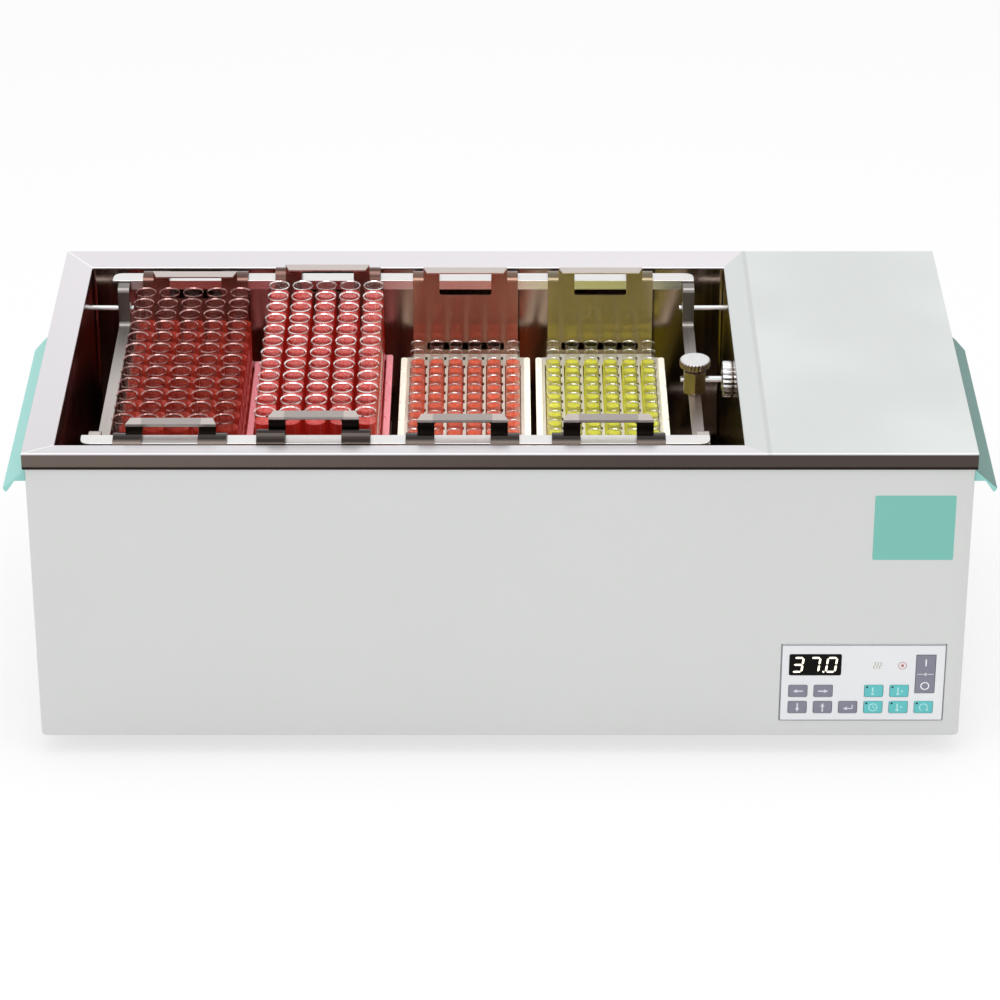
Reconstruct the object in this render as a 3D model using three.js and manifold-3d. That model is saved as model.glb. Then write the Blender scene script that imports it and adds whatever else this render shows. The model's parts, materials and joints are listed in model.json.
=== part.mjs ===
// Bench-top shaking water bath: a stainless steel bath with a shaking carriage that carries four
// hanging tube racks, and a drive compartment on the right behind the keypad.
// Millimetres, +Z up, +X right, the front faces -Y. The origin is under the middle, on the bench.

import * as THREE from 'three';
import { ConvexGeometry } from 'three/addons/geometries/ConvexGeometry.js';
import { mergeVertices } from 'three/addons/utils/BufferGeometryUtils.js';
import Module from 'manifold-3d';

const wasm = await Module();
wasm.setup();

// Fits used by every piece
const seatGap = 0.3;
const runningGap = 0.3;
const cutOverrun = 3;
const weldDistance = 0.0005;
const roundFacets = 16;
const smallFacets = 8;
const cornerFacets = 1;
const hookFacets = 4;
const keyFacets = 2;
const tankFacets = 3;

// Deck: the folded stainless cover with the sunken rim round the bath
const deckLength = 700;
const deckDepth = 350;
const deckTop = 260;
const deckSheet = 1.2;
const lipHeight = 13.6;
const rimWidth = 22;
const rimDrop = 4.6;
const driveRimWidth = 17;

// Bath tank
const bathLength = 508;
const tankSheet = 1.4;
const tankFlange = 5;
const tankCornerRadius = 3;

// Casing, base and feet
const casingSheet = 1.5;
const casingCornerRadius = 4;
const footHeight = 17;
const footRadius = 15;
const footTaper = 3;
const footInsetX = 50;
const footInsetY = 47;
const baseSheet = 1.5;
const ventLength = 42;
const ventHeight = 4;
const ventPitch = 11;
const ventCount = 5;
const ventRiseOverInlet = 26.4;

// Carrying grips under the lip
const gripLength = 234;
const gripFrontInset = 8;
const gripReach = 17.5;
const gripDrop = 3.5;
const gripFall = 16.5;
const gripWall = 2.8;
const gripRootHeight = 10;
const gripCornerCut = 7;

// Keypad on the front
const panelLength = 123.6;
const panelHeight = 66.4;
const panelThickness = 3;
const panelProud = 0.6;
const panelCornerRadius = 1.5;
const panelRightInset = 13.3;
const panelBottomRise = 13.6;
const displayLength = 38.9;
const displayHeight = 18.3;
const displayThickness = 2.2;
const displayInsetX = 6.2;
const displayInsetTop = 8.2;
const keyLength = 14;
const keyHeight = 10.4;
const keyThickness = 2.6;
const keyProud = 0.3;
const keyCornerRadius = 1.4;
const keyPitchX = 19.1;
const keyPitchZ = 14.3;
const keyInsetX = 13.3;
const keyInsetBottom = 11.8;
const rockerLength = 14.6;
const rockerHeight = 33.3;
const rockerThickness = 5;
const rockerSwing = 1.5;
const rockerInsetX = 14.7;
const rockerInsetTop = 25.4;

// Board behind the keypad
const boardThickness = 1.6;
const boardMargin = 2;
const boardPostRadius = 2.4;
const boardRelief = 5.2;
const transformerSize = 34;
const transformerDepth = 28;
const driverChipSize = 12;
const driverChipDepth = 5;

// Mains inlet in the rear panel: one module with a socket and a fuse drawer above it
const moduleLength = 46;
const moduleHeight = 38;
const inletLength = 27;
const inletHeight = 20;
const fuseHeight = 6;
const fuseCornerRadius = 1.4;
const fuseGroove = 0.6;
const moduleScrewRadius = 2.6;
const inletDepth = 22;
const inletRim = 3;
const inletWall = 1.2;
const inletPinRadius = 1.6;
const inletPinLength = 10;
const inletInsetX = 74;
const inletRise = 42;

// Heater, false floor and probe in the tank
const heaterRadius = 4;
const heaterRise = 9;
const heaterInset = 30;
const heaterBendRadius = 22;
const heaterTail = 9;
const heaterSteps = 34;
const floorSheet = 1.5;
const floorRise = 20;
const floorInset = 6;
const floorSlotWidth = 9;
const floorSlotCount = 10;
const floorLegRadius = 3;
const probeRadius = 3;
const probeLength = 60;
const probeFlangeRadius = 7;
const probeFlangeLength = 3;
const probeY = 96;
const probeRise = 40;

// Shaking carriage
const strokeHalf = 7.5;
const carriageLength = 465.3;
const carriageLeftGap = 18;
const railWidth = 14;
const railWallGap = 6;
const railSheet = 1.5;
const railLip = 8;
const railDrop = 6.5;
const railCornerRadius = 8;
const strapWidth = 9.3;
const strapSheet = 2;
const strapDepth = 34;
const strapInset = 10;
const strapBendRadius = 4;
const strapLeftInset = 4.7;

// Guide pins and their bushes
const pinRadius = 2;
const pinNutRadius = 5;
const pinNutLength = 4;
const pinOverlap = 2.5;
const pinDrop = 21.5;
const bushRadius = 4.5;
const bushClearance = 0.2;

// Coupling between the carriage and the drive
const rodRadius = 2.5;
const rodY = 5;
const rodDrop = 23.5;
const blockAcrossFlats = 16.5;
const blockHeight = 18;
const screwHeadRadius = 12;
const screwHeadHeight = 6;
const screwNeckRadius = 6;
const screwNeckHeight = 3;
const screwStemRadius = 3;
const knurlDepth = 0.7;
const knurlTeeth = 26;
const glandRadius = 14;
const glandLength = 8.5;

// Crank drive in the compartment
const crankDistance = 55;
const crankPinRadius = 3;
const crankDiscRadius = 17;
const crankDiscHeight = 7;
const crankGap = 1;
const yokeHeight = 6;
const yokeMargin = 6;
const yokeSlotClearance = 1.9;
const yokeBossRadius = 3.4;
const yokeBossLength = 9;
const shaftRadius = 4;
const bearingRadius = 11;
const bearingFlangeRadius = 19;
const bearingFlangeHeight = 3;
const bearingHeight = 20;
const bracketSheet = 3;
const bracketDepth = 84;
const motorLegGap = 2.4;
const bracketLeftGap = 12;
const shelfDrop = 36;
const pulleyWidth = 12;
const pulleyFlange = 2;
const drivePulleyRadius = 27;
const motorPulleyRadius = 9;
const pulleyDrop = 6;
const beltThickness = 2;
const beltWidth = 7;
const motorDistance = 60;
const motorRadius = 30;
const motorLength = 78;
const motorCapRadius = 24;
const motorCapLength = 8;
const motorShaftRadius = 3;

// Hanging racks
const rackGap = 4.4;
const rackNudge = 2;
const rackLeftGap = 0.5;
const rackRightGap = 13.9;
const rackSheet = 1.2;
const rackEndGap = 0.8;
const handleWidth = 67;
const earWidth = 84;
const windowWidth = 41.5;
const windowDrop = 24;
const windowTopRim = 2.4;
const barReach = 9;
const barTaper = 3;
const deckDrop = 76;
const deckCornerRadius = 5;
const deckEdgeHeight = 6;
const slotRiseBelowDeck = 1.8;
const slotHeight = 6.8;
const slotWidth = 62;
const hookGap = 0.8;
const hookFlangeHeight = 6;
const lowHookRise = 3;
const highHookRise = 9;
const ledgeReach = 12;
const trayMargin = 2;
const tubeClearance = 0.6;
const tubeMargin = 2;
const pinPassGap = 2.3;
const underRackGap = 25.4;
const tubeSides = 5;
const lowHandle = 8.5;
const highHandle = 14.5;
const evenHandle = 12;
const wideTube = {
  radius: 8.4, length: 130, rimDrop: 7, pitchX: 18.8, pitchY: 19.85,
};
const narrowTube = {
  radius: 6, length: 75, rimDrop: 55, pitchX: 15.2, pitchY: 15.2,
};

// Racks from left to right
const racks = [
  { name: 'rack_1', rise: lowHandle, nudge: 0, hookRise: lowHookRise, tube: wideTube, glow: 0x8e1f14 },
  { name: 'rack_2', rise: highHandle, nudge: -rackNudge, hookRise: highHookRise, tube: wideTube, glow: 0xc22a1c },
  { name: 'rack_3', rise: evenHandle, nudge: 0, hookRise: lowHookRise, tube: narrowTube, glow: 0xd8452c },
  { name: 'rack_4', rise: evenHandle, nudge: 0, hookRise: lowHookRise, tube: narrowTube, glow: 0xd2cf2a },
];

// Places that follow from the sizes
const deckLeft = -deckLength / 2;
const deckRight = deckLength / 2;
const deckBack = deckDepth / 2;
const lipBottom = deckTop - lipHeight;
const rimEdge = deckTop - rimDrop;
const bathLeft = deckLeft + rimWidth;
const bathRight = bathLeft + bathLength;
const bathBack = deckBack - rimWidth;
const tankTop = rimEdge - deckSheet - seatGap;
const casingRight = deckRight - deckSheet - seatGap;
const casingBack = deckBack - deckSheet - seatGap;
const casingTop = deckTop - deckSheet - seatGap
  - rimDrop * (deckSheet + seatGap + casingSheet) / rimWidth;
const casingInside = casingRight - casingSheet;
const baseTop = footHeight + baseSheet;
const ventBottom = footHeight + inletRise + moduleHeight / 2 + inletRim + ventRiseOverInlet;
const panelRight = casingRight - panelRightInset;
const panelLeft = panelRight - panelLength;
const panelBottom = footHeight + panelBottomRise;
const panelTop = panelBottom + panelHeight;
const panelFront = -casingBack - panelProud;
const panelRear = panelFront + panelThickness;
const railTop = deckTop - railDrop;
const railUnderside = railTop - railSheet;
const trayDrop = (tube) => tube.rimDrop + tube.length;
const rackBottom = (rack) => -trayDrop(rack.tube) - seatGap - rackSheet * 2;
const lowestRack = railTop + Math.min(...racks.map((rack) => rack.rise + rackBottom(rack)));
const bathDepth = rimEdge - lowestRack + underRackGap + floorSheet + floorRise;
const bathFloor = rimEdge - bathDepth;
const railOuter = bathBack - railWallGap;
const railInner = railOuter - railWidth;
const carriageLeft = bathLeft + carriageLeftGap;
const carriageRight = carriageLeft + carriageLength;
const strapLeft = carriageLeft + strapLeftInset;
const strapRight = carriageRight - strapWidth;
const strapOuter = railInner - strapInset;
const strapTop = railUnderside - seatGap - strapDepth + strapSheet;
const pinZ = railTop - pinDrop;
const pinY = strapOuter + seatGap + bushRadius;
const rodZ = railTop - rodDrop;
const blockX = strapRight + strapWidth / 2;
const blockBottom = strapTop + seatGap;
const blockTop = blockBottom + blockHeight;
const crankX = bathRight + crankDistance;
const yokeBottom = rodZ - yokeHeight / 2;
const discTop = yokeBottom - crankGap;
const discBottom = discTop - crankDiscHeight;
const bearingTop = discBottom - runningGap;
const bracketTop = bearingTop - bearingHeight - seatGap;
const bracketLeft = bathRight + tankSheet + bracketLeftGap;
const pulleyTop = bracketTop - bracketSheet - pulleyDrop;
const pulleyBottom = pulleyTop - pulleyWidth;
const shelfTop = bracketTop - shelfDrop;
const motorX = crankX + motorDistance;
const bracketLength = motorX + motorRadius + motorLegGap + bracketSheet - bracketLeft;
const bracketRight = bracketLeft + bracketLength;
const motorTop = shelfTop - bracketSheet - seatGap;
const rackRoom = strapRight - strapLeft - strapWidth - rackLeftGap - rackRightGap;
const rackWidth = (rackRoom - (racks.length - 1) * rackGap) / racks.length;
const rackPitch = rackWidth + rackGap;
const rackFirstX = strapLeft + strapWidth + rackLeftGap + rackWidth / 2;
const rackPlateOuter = railInner - rackEndGap;
const rackPlateInner = rackPlateOuter - rackSheet;
const rackDeckHalf = pinY - pinRadius - pinPassGap;

// Materials, one for each mesh that uses them
const finishes = {
  brushed: { color: 0xd9d9dc, roughness: 0.35, metalness: 0.9 },
  polished: { color: 0x8f8680, roughness: 0.2, metalness: 0.95 },
  painted: { color: 0xd3d3d1, roughness: 0.55, metalness: 0.1 },
  grip: { color: 0x8fcdc4, roughness: 0.5, metalness: 0 },
  panel: { color: 0xe9ebee, roughness: 0.5, metalness: 0 },
  display: { color: 0x0d0b0a, roughness: 0.15, metalness: 0 },
  greyKey: { color: 0x80808f, roughness: 0.5, metalness: 0 },
  tealKey: { color: 0x5ec0c2, roughness: 0.5, metalness: 0 },
  rubber: { color: 0x26262a, roughness: 0.85, metalness: 0 },
  bronze: { color: 0x9c8455, roughness: 0.35, metalness: 0.9 },
  nylon: { color: 0xe6e3da, roughness: 0.6, metalness: 0 },
  board: { color: 0x1f5a3a, roughness: 0.6, metalness: 0 },
  dark: { color: 0x2b2d31, roughness: 0.6, metalness: 0.3 },
  copper: { color: 0x9a8f88, roughness: 0.4, metalness: 0.9 },
};

const instrument = new THREE.Group();

function addMesh(parent, name, shape, finish) {
  const geometry = shape.isBufferGeometry ? shape : toGeometry(shape);
  geometry.computeVertexNormals();
  const mesh = new THREE.Mesh(geometry, new THREE.MeshStandardMaterial(finish));
  mesh.name = name;
  parent.add(mesh);
  return mesh;
}

// Solids for cutting and joining
function toSolid(geometry) {
  const bare = new THREE.BufferGeometry();
  const loose = geometry.index ? geometry.toNonIndexed() : geometry;
  bare.setAttribute('position', loose.getAttribute('position'));
  const merged = mergeVertices(bare, weldDistance);
  return new wasm.Manifold(new wasm.Mesh({
    numProp: 3,
    vertProperties: merged.attributes.position.array,
    triVerts: new Uint32Array(merged.index.array),
  }));
}

function toGeometry(solid) {
  const data = solid.getMesh();
  const geometry = new THREE.BufferGeometry();
  geometry.setAttribute('position', new THREE.BufferAttribute(data.vertProperties, 3));
  geometry.setIndex(new THREE.BufferAttribute(data.triVerts, 1));
  return geometry.toNonIndexed();
}

const join = (solids) => solids.reduce((sum, solid) => sum.add(solid));
const moved = (solid, x, y, z) => toSolid(toGeometry(solid).translate(x, y, z));
const cut = (body, tools) => tools.reduce((rest, tool) => rest.subtract(tool), body);

function block([x0, x1], [y0, y1], [z0, z1]) {
  const geometry = new THREE.BoxGeometry(x1 - x0, y1 - y0, z1 - z0);
  geometry.translate((x0 + x1) / 2, (y0 + y1) / 2, (z0 + z1) / 2);
  return toSolid(geometry);
}

// A solid between a rectangle at one height and a rectangle at another
function frustum(low, high) {
  const corners = [low, high].flatMap(({ x, y, z }) => x.flatMap((px) => y.map(
    (py) => new THREE.Vector3(px, py, z),
  )));
  return toSolid(new ConvexGeometry(corners));
}

function extrude(shape, length, facets = cornerFacets) {
  return new THREE.ExtrudeGeometry(shape, { depth: length, bevelEnabled: false, curveSegments: facets });
}

// The outline lies in XY and rises from z0 to z1
function upright(shape, [z0, z1], facets) {
  return extrude(shape, z1 - z0, facets).translate(0, 0, z0);
}

// The outline lies in YZ and runs from x0 to x1
function alongX(shape, [x0, x1], facets) {
  const turn = new THREE.Matrix4().makeBasis(
    new THREE.Vector3(0, 1, 0),
    new THREE.Vector3(0, 0, 1),
    new THREE.Vector3(1, 0, 0),
  );
  return extrude(shape, x1 - x0, facets).applyMatrix4(turn).translate(x0, 0, 0);
}

// The outline lies in XZ and runs from y0 to y1
function alongY(shape, [y0, y1], facets) {
  return extrude(shape, y1 - y0, facets).rotateX(Math.PI / 2).translate(0, y1, 0);
}

function cylinder(radius, [from, to], axis, facets = roundFacets) {
  const geometry = new THREE.CylinderGeometry(radius, radius, to - from, facets);
  geometry.translate(0, (from + to) / 2, 0);
  if (axis === 'x') geometry.rotateZ(-Math.PI / 2);
  if (axis === 'z') geometry.rotateX(Math.PI / 2);
  return geometry;
}

// The radius whose facets clear a round piece by the gap
function boreRadius(radius, gap) {
  return (radius + gap) / Math.cos(Math.PI / smallFacets);
}

// A turned piece: pairs of radius and height, on the axis at both ends
function turned(profile, facets = roundFacets) {
  const points = profile.map(([radius, height]) => new THREE.Vector2(radius, height));
  return new THREE.LatheGeometry(points, facets).rotateX(Math.PI / 2);
}

function outline(points) {
  return new THREE.Shape(points.map(([x, y]) => new THREE.Vector2(x, y)));
}

function roundedRectangle([x0, x1], [y0, y1], radius, Kind = THREE.Shape) {
  const shape = new Kind();
  shape.moveTo(x0 + radius, y0);
  shape.lineTo(x1 - radius, y0);
  shape.quadraticCurveTo(x1, y0, x1, y0 + radius);
  shape.lineTo(x1, y1 - radius);
  shape.quadraticCurveTo(x1, y1, x1 - radius, y1);
  shape.lineTo(x0 + radius, y1);
  shape.quadraticCurveTo(x0, y1, x0, y1 - radius);
  shape.lineTo(x0, y0 + radius);
  shape.quadraticCurveTo(x0, y0, x0 + radius, y0);
  return shape;
}

function knurled(radius) {
  const outer = Array.from({ length: 2 * knurlTeeth }, (_, i) => {
    const reach = radius - (i % 2) * knurlDepth;
    const angle = Math.PI * i / knurlTeeth;
    return [reach * Math.cos(angle), reach * Math.sin(angle)];
  });
  return outline(outer);
}

// Deck with its folded lip and the rim that falls towards the bath on four sides
function topDeck() {
  const slopeAt = (z) => (z - rimEdge) / rimDrop;
  const hopper = (z, grow, lower) => ({
    x: [
      bathLeft - grow - slopeAt(z) * (rimWidth - grow),
      bathRight + grow + slopeAt(z) * (driveRimWidth - grow),
    ],
    y: [
      -bathBack - grow - slopeAt(z) * (rimWidth - grow),
      bathBack + grow + slopeAt(z) * (rimWidth - grow),
    ],
    z: z - lower,
  });
  const blank = block([deckLeft, deckRight], [-deckBack, deckBack], [lipBottom, deckTop]);
  const funnel = frustum(hopper(rimEdge, 0, 0), hopper(deckTop + rimDrop, 0, 0));
  const mouth = block(
    [bathLeft, bathRight],
    [-bathBack, bathBack],
    [lipBottom - cutOverrun, deckTop],
  );
  const underside = block(
    [deckLeft + deckSheet, deckRight - deckSheet],
    [-deckBack + deckSheet, deckBack - deckSheet],
    [lipBottom - cutOverrun, deckTop - deckSheet],
  );
  const skin = frustum(hopper(rimEdge, deckSheet, deckSheet), hopper(deckTop, deckSheet, deckSheet));
  return cut(blank, [funnel, mouth, underside.subtract(skin)]);
}

function bathTank() {
  const ring = (grow, z) => toSolid(upright(
    roundedRectangle(
      [bathLeft - grow, bathRight + grow],
      [-bathBack - grow, bathBack + grow],
      tankCornerRadius + grow,
    ),
    z,
    tankFacets,
  ));
  const body = join([
    ring(tankSheet, [bathFloor - tankSheet, tankTop]),
    ring(tankFlange, [tankTop - tankSheet, tankTop]),
  ]);
  const wallHole = (radius, y, z, from, to) => toSolid(
    cylinder(radius, [from, to], 'x', smallFacets).translate(0, y, z),
  );
  const rightWall = [bathRight - cutOverrun, bathRight + tankSheet + cutOverrun];
  const leftWall = [bathLeft - tankSheet - cutOverrun, bathLeft + cutOverrun];
  const pinHoles = [-pinY, pinY].flatMap((y) => [leftWall, rightWall].map(
    (wall) => wallHole(boreRadius(pinRadius, seatGap), y, pinZ, ...wall),
  ));
  const heaterHoles = [-heaterBendRadius, heaterBendRadius].map((y) => wallHole(
    boreRadius(heaterRadius, seatGap), y, bathFloor + heaterRise, ...rightWall,
  ));
  return cut(body, [
    ring(0, [bathFloor, tankTop + cutOverrun]),
    ...pinHoles,
    ...heaterHoles,
    wallHole(boreRadius(rodRadius, seatGap), rodY, rodZ, ...rightWall),
    wallHole(boreRadius(probeRadius, seatGap), probeY, bathFloor + probeRise, ...rightWall),
  ]);
}

// Front and both sides in one folded sheet, open at the back and below
function outerCasing() {
  const wrap = new THREE.Shape();
  const radius = casingCornerRadius;
  const inner = radius - casingSheet;
  wrap.moveTo(-casingRight, casingBack);
  wrap.lineTo(-casingRight, -casingBack + radius);
  wrap.absarc(-casingRight + radius, -casingBack + radius, radius, Math.PI, 1.5 * Math.PI);
  wrap.lineTo(casingRight - radius, -casingBack);
  wrap.absarc(casingRight - radius, -casingBack + radius, radius, -Math.PI / 2, 0);
  wrap.lineTo(casingRight, casingBack);
  wrap.lineTo(casingInside, casingBack);
  wrap.lineTo(casingInside, -casingBack + radius);
  wrap.absarc(casingRight - radius, -casingBack + radius, inner, 0, -Math.PI / 2, true);
  wrap.lineTo(-casingRight + radius, -casingBack + casingSheet);
  wrap.absarc(-casingRight + radius, -casingBack + radius, inner, -Math.PI / 2, -Math.PI, true);
  wrap.lineTo(-casingInside, casingBack);
  const window = block(
    [panelLeft - seatGap, panelRight + seatGap],
    [-casingBack - cutOverrun, -casingBack + casingSheet + cutOverrun],
    [panelBottom - seatGap, panelTop + seatGap],
  );
  return toSolid(upright(wrap, [footHeight, casingTop])).subtract(window);
}

function ventSlots(centreX, lowest) {
  return Array.from({ length: ventCount }, (_, row) => roundedRectangle(
    [centreX - ventLength / 2, centreX + ventLength / 2],
    [lowest + row * ventPitch, lowest + row * ventPitch + ventHeight],
    ventHeight / 4,
    THREE.Path,
  ));
}

function rearPanel() {
  const edge = casingInside - seatGap;
  const sheet = roundedRectangle([-edge, edge], [footHeight, casingTop], casingSheet);
  const inletX = casingRight - inletInsetX;
  const inletZ = footHeight + inletRise;
  sheet.holes = [
    ...ventSlots(crankX, ventBottom),
    ...ventSlots(motorX, ventBottom),
    roundedRectangle(
      [inletX - moduleLength / 2 - seatGap, inletX + moduleLength / 2 + seatGap],
      [inletZ - moduleHeight / 2 - seatGap, inletZ + moduleHeight / 2 + seatGap],
      inletRim,
      THREE.Path,
    ),
  ];
  return alongY(sheet, [casingBack - casingSheet, casingBack]);
}

function basePlate() {
  const edgeX = casingInside - seatGap;
  const edgeY = casingBack - casingSheet - seatGap;
  const sheet = roundedRectangle([-edgeX, edgeX], [-edgeY, edgeY], casingCornerRadius);
  sheet.holes = ventSlots(motorX, -ventCount * ventPitch / 2);
  return upright(sheet, [footHeight, baseTop]);
}

function foot() {
  return turned([
    [0, 0],
    [footRadius - footTaper, 0],
    [footRadius - footTaper / 2, footTaper / 2],
    [footRadius, footHeight - seatGap],
    [0, footHeight - seatGap],
  ]);
}

// A bent grip that hangs from the casing side, close under the lip; side is 1 on the right
function carryingGrip(side) {
  const root = casingRight + seatGap;
  const top = lipBottom - gripDrop;
  const tip = root + gripReach;
  const low = top - gripFall;
  const web = root + gripRootHeight - seatGap - gripWall / 2;
  const shape = new THREE.Shape();
  shape.moveTo(side * root, top);
  shape.lineTo(side * tip, low);
  shape.quadraticCurveTo(side * (tip - gripWall / 4), low - gripWall, side * (tip - gripWall), low - gripWall);
  shape.lineTo(side * web, top - gripRootHeight);
  shape.lineTo(side * root, top - gripRootHeight);
  const front = -deckBack + gripFrontInset;
  const back = front + gripLength;
  const plan = outline([
    [side * (root - gripWall), front],
    [side * (tip - gripCornerCut / 2), front],
    [side * (tip + gripWall), front + gripCornerCut / 2],
    [side * (tip + gripWall), back - gripCornerCut],
    [side * (tip - gripCornerCut), back],
    [side * (root - gripWall), back],
  ]);
  const section = toSolid(alongY(shape, [front, back], smallFacets));
  return section.intersect(toSolid(upright(plan, [low - gripReach, top + gripReach])));
}

// Keypad
const leftBlockX = panelLeft + keyInsetX;
const lowRowZ = panelBottom + keyInsetBottom;
const keyPlaces = [
  { name: 'key_left', column: 0, row: 1, finish: finishes.greyKey },
  { name: 'key_right', column: 1, row: 1, finish: finishes.greyKey },
  { name: 'key_temperature', column: 3, row: 1, finish: finishes.tealKey },
  { name: 'key_warning_high', column: 4, row: 1, finish: finishes.tealKey },
  { name: 'key_down', column: 0, row: 0, finish: finishes.greyKey },
  { name: 'key_up', column: 1, row: 0, finish: finishes.greyKey },
  { name: 'key_enter', column: 2, row: 0, finish: finishes.greyKey },
  { name: 'key_timer', column: 3, row: 0, finish: finishes.tealKey },
  { name: 'key_warning_low', column: 4, row: 0, finish: finishes.tealKey },
  { name: 'key_shake', column: 5, row: 0, finish: finishes.tealKey },
].map((key) => ({
  ...key,
  x: leftBlockX + key.column * keyPitchX,
  z: lowRowZ + key.row * keyPitchZ,
}));
const rockerX = panelRight - rockerInsetX;
const rockerZ = panelTop - rockerInsetTop;
const displayLeft = panelLeft + displayInsetX;
const displayTop = panelTop - displayInsetTop;

function controlPanel() {
  const face = roundedRectangle([panelLeft, panelRight], [panelBottom, panelTop], panelCornerRadius);
  const opening = (x, z, length, height, radius) => roundedRectangle(
    [x - length / 2 - runningGap, x + length / 2 + runningGap],
    [z - height / 2 - runningGap, z + height / 2 + runningGap],
    radius,
    THREE.Path,
  );
  face.holes = [
    ...keyPlaces.map(({ x, z }) => opening(x, z, keyLength, keyHeight, keyCornerRadius)),
    opening(rockerX, rockerZ, rockerLength, rockerHeight, runningGap),
    opening(
      displayLeft + displayLength / 2,
      displayTop - displayHeight / 2,
      displayLength,
      displayHeight,
      keyCornerRadius,
    ),
  ];
  return alongY(face, [panelFront, panelRear], keyFacets);
}

function keyCap() {
  const cap = roundedRectangle(
    [-keyLength / 2, keyLength / 2],
    [-keyHeight / 2, keyHeight / 2],
    keyCornerRadius,
  );
  return alongY(cap, [-keyProud, keyThickness - keyProud], keyFacets);
}

function displayWindow() {
  const glass = roundedRectangle(
    [displayLeft, displayLeft + displayLength],
    [displayTop - displayHeight, displayTop],
    keyCornerRadius,
  );
  return alongY(glass, [panelFront, panelFront + displayThickness], keyFacets);
}

// The rocker's face is two flats that meet in a shallow dip at the pivot
function powerRocker() {
  const half = rockerHeight / 2;
  const dip = rockerSwing / 4;
  const side = outline([
    [-keyProud, -half],
    [rockerThickness - rockerSwing, -half + rockerSwing],
    [rockerThickness, 0],
    [rockerThickness - rockerSwing, half - rockerSwing],
    [-keyProud, half],
    [-keyProud + dip, 0],
  ]);
  return alongX(side, [-rockerLength / 2, rockerLength / 2]);
}

function controlBoard() {
  const front = panelRear + seatGap;
  const right = rockerX - rockerLength / 2 - boardRelief;
  const board = block(
    [panelLeft + boardMargin, right],
    [front, front + boardThickness],
    [panelBottom + boardMargin, panelTop - boardMargin],
  );
  const back = front + boardThickness;
  const transformer = block(
    [panelLeft + boardMargin * 2, panelLeft + boardMargin * 2 + transformerSize],
    [front, back + transformerDepth],
    [panelBottom + boardMargin * 2, panelBottom + boardMargin * 2 + transformerSize],
  );
  const chips = [1, 3].map((step) => block(
    [right - (step + 1) * driverChipSize, right - step * driverChipSize],
    [front, back + driverChipDepth],
    [lowRowZ, lowRowZ + driverChipSize],
  ));
  const pillars = [panelBottom, panelTop].map((edge) => toSolid(
    cylinder(boardPostRadius, [front, back + boardPostRadius], 'y', smallFacets).translate(
      right - boardMargin * 2,
      0,
      edge + (edge === panelTop ? -1 : 1) * (boardMargin + boardPostRadius * 2),
    ),
  ));
  return join([board, transformer, ...chips, ...pillars]);
}

function mainsInlet() {
  const x = casingRight - inletInsetX;
  const z = footHeight + inletRise;
  const rimFront = casingBack + seatGap;
  const face = rimFront + inletWall;
  const block = (length, height, middle, radius, span) => toSolid(alongY(
    roundedRectangle(
      [x - length / 2, x + length / 2],
      [middle - height / 2, middle + height / 2],
      radius,
    ),
    span,
  ));
  const grown = 2 * inletRim;
  const thinned = 2 * inletWall;
  const bodySpan = [rimFront - inletDepth, face];
  const socketSpan = [bodySpan[0] + inletWall, face + cutOverrun];
  const body = block(moduleLength, moduleHeight, z, inletRim, bodySpan);
  const rim = block(moduleLength + grown, moduleHeight + grown, z, inletRim, [rimFront, face]);
  const socket = block(inletLength - thinned, inletHeight - thinned, z, inletRim, socketSpan);
  const drawer = (grow) => block(
    inletLength + grow,
    fuseHeight + grow,
    z + (moduleHeight + inletHeight) / 4,
    fuseCornerRadius,
    [face - fuseGroove, face + cutOverrun],
  );
  const groove = cut(drawer(fuseGroove), [drawer(-fuseGroove)]);
  const screwSeats = [-1, 1].map((side) => toSolid(
    cylinder(moduleScrewRadius, [face - fuseGroove, face + cutOverrun], 'y', smallFacets).translate(
      x + side * (moduleLength + inletLength) / 4,
      0,
      z,
    ),
  ));
  const pins = [-1, 0, 1].map((step) => toSolid(
    cylinder(inletPinRadius, [0, inletPinLength + inletWall / 2], 'y', smallFacets).translate(
      x + step * inletLength / 4,
      rimFront - inletDepth + inletWall / 2,
      z + (step === 0 ? 1 : -1) * inletHeight / 8,
    ),
  ));
  return join([cut(body.add(rim), [socket, groove, ...screwSeats]), ...pins]);
}

// A bent tube that enters through the drive-side wall, runs round under the floor and comes back
function heaterElement() {
  const z = bathFloor + heaterRise;
  const far = bathLeft + heaterInset + heaterBendRadius * 2;
  const near = bathRight - heaterInset - heaterBendRadius * 2;
  const exit = bathRight + tankSheet + heaterTail;
  const r = heaterBendRadius;
  const wide = bathBack - heaterInset;
  const route = [
    [exit, -r], [near + r, -r], [near, -r * 2], [near, -wide + r], [near - r, -wide],
    [far + r, -wide], [far, -wide + r], [far, 0], [far, wide - r], [far + r, wide],
    [near - r, wide], [near, wide - r], [near, r * 2], [near + r, r], [exit, r],
  ].map(([x, y]) => new THREE.Vector3(x, y, z));
  const path = new THREE.CurvePath();
  route.slice(1).forEach((end, i) => {
    const start = i === 0 ? route[0] : route[i].clone().lerp(route[i + 1], 0.5);
    const stop = i === route.length - 2 ? end : route[i + 1].clone().lerp(route[i + 2], 0.5);
    path.add(new THREE.QuadraticBezierCurve3(
      start,
      i === route.length - 2 ? start.clone().lerp(stop, 0.5) : route[i + 1],
      stop,
    ));
  });
  const section = outline(Array.from({ length: 8 }, (_, i) => [
    heaterRadius * Math.cos(Math.PI * i / 4),
    heaterRadius * Math.sin(Math.PI * i / 4),
  ]));
  return new THREE.ExtrudeGeometry(section, { extrudePath: path, steps: heaterSteps, bevelEnabled: false });
}

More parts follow.
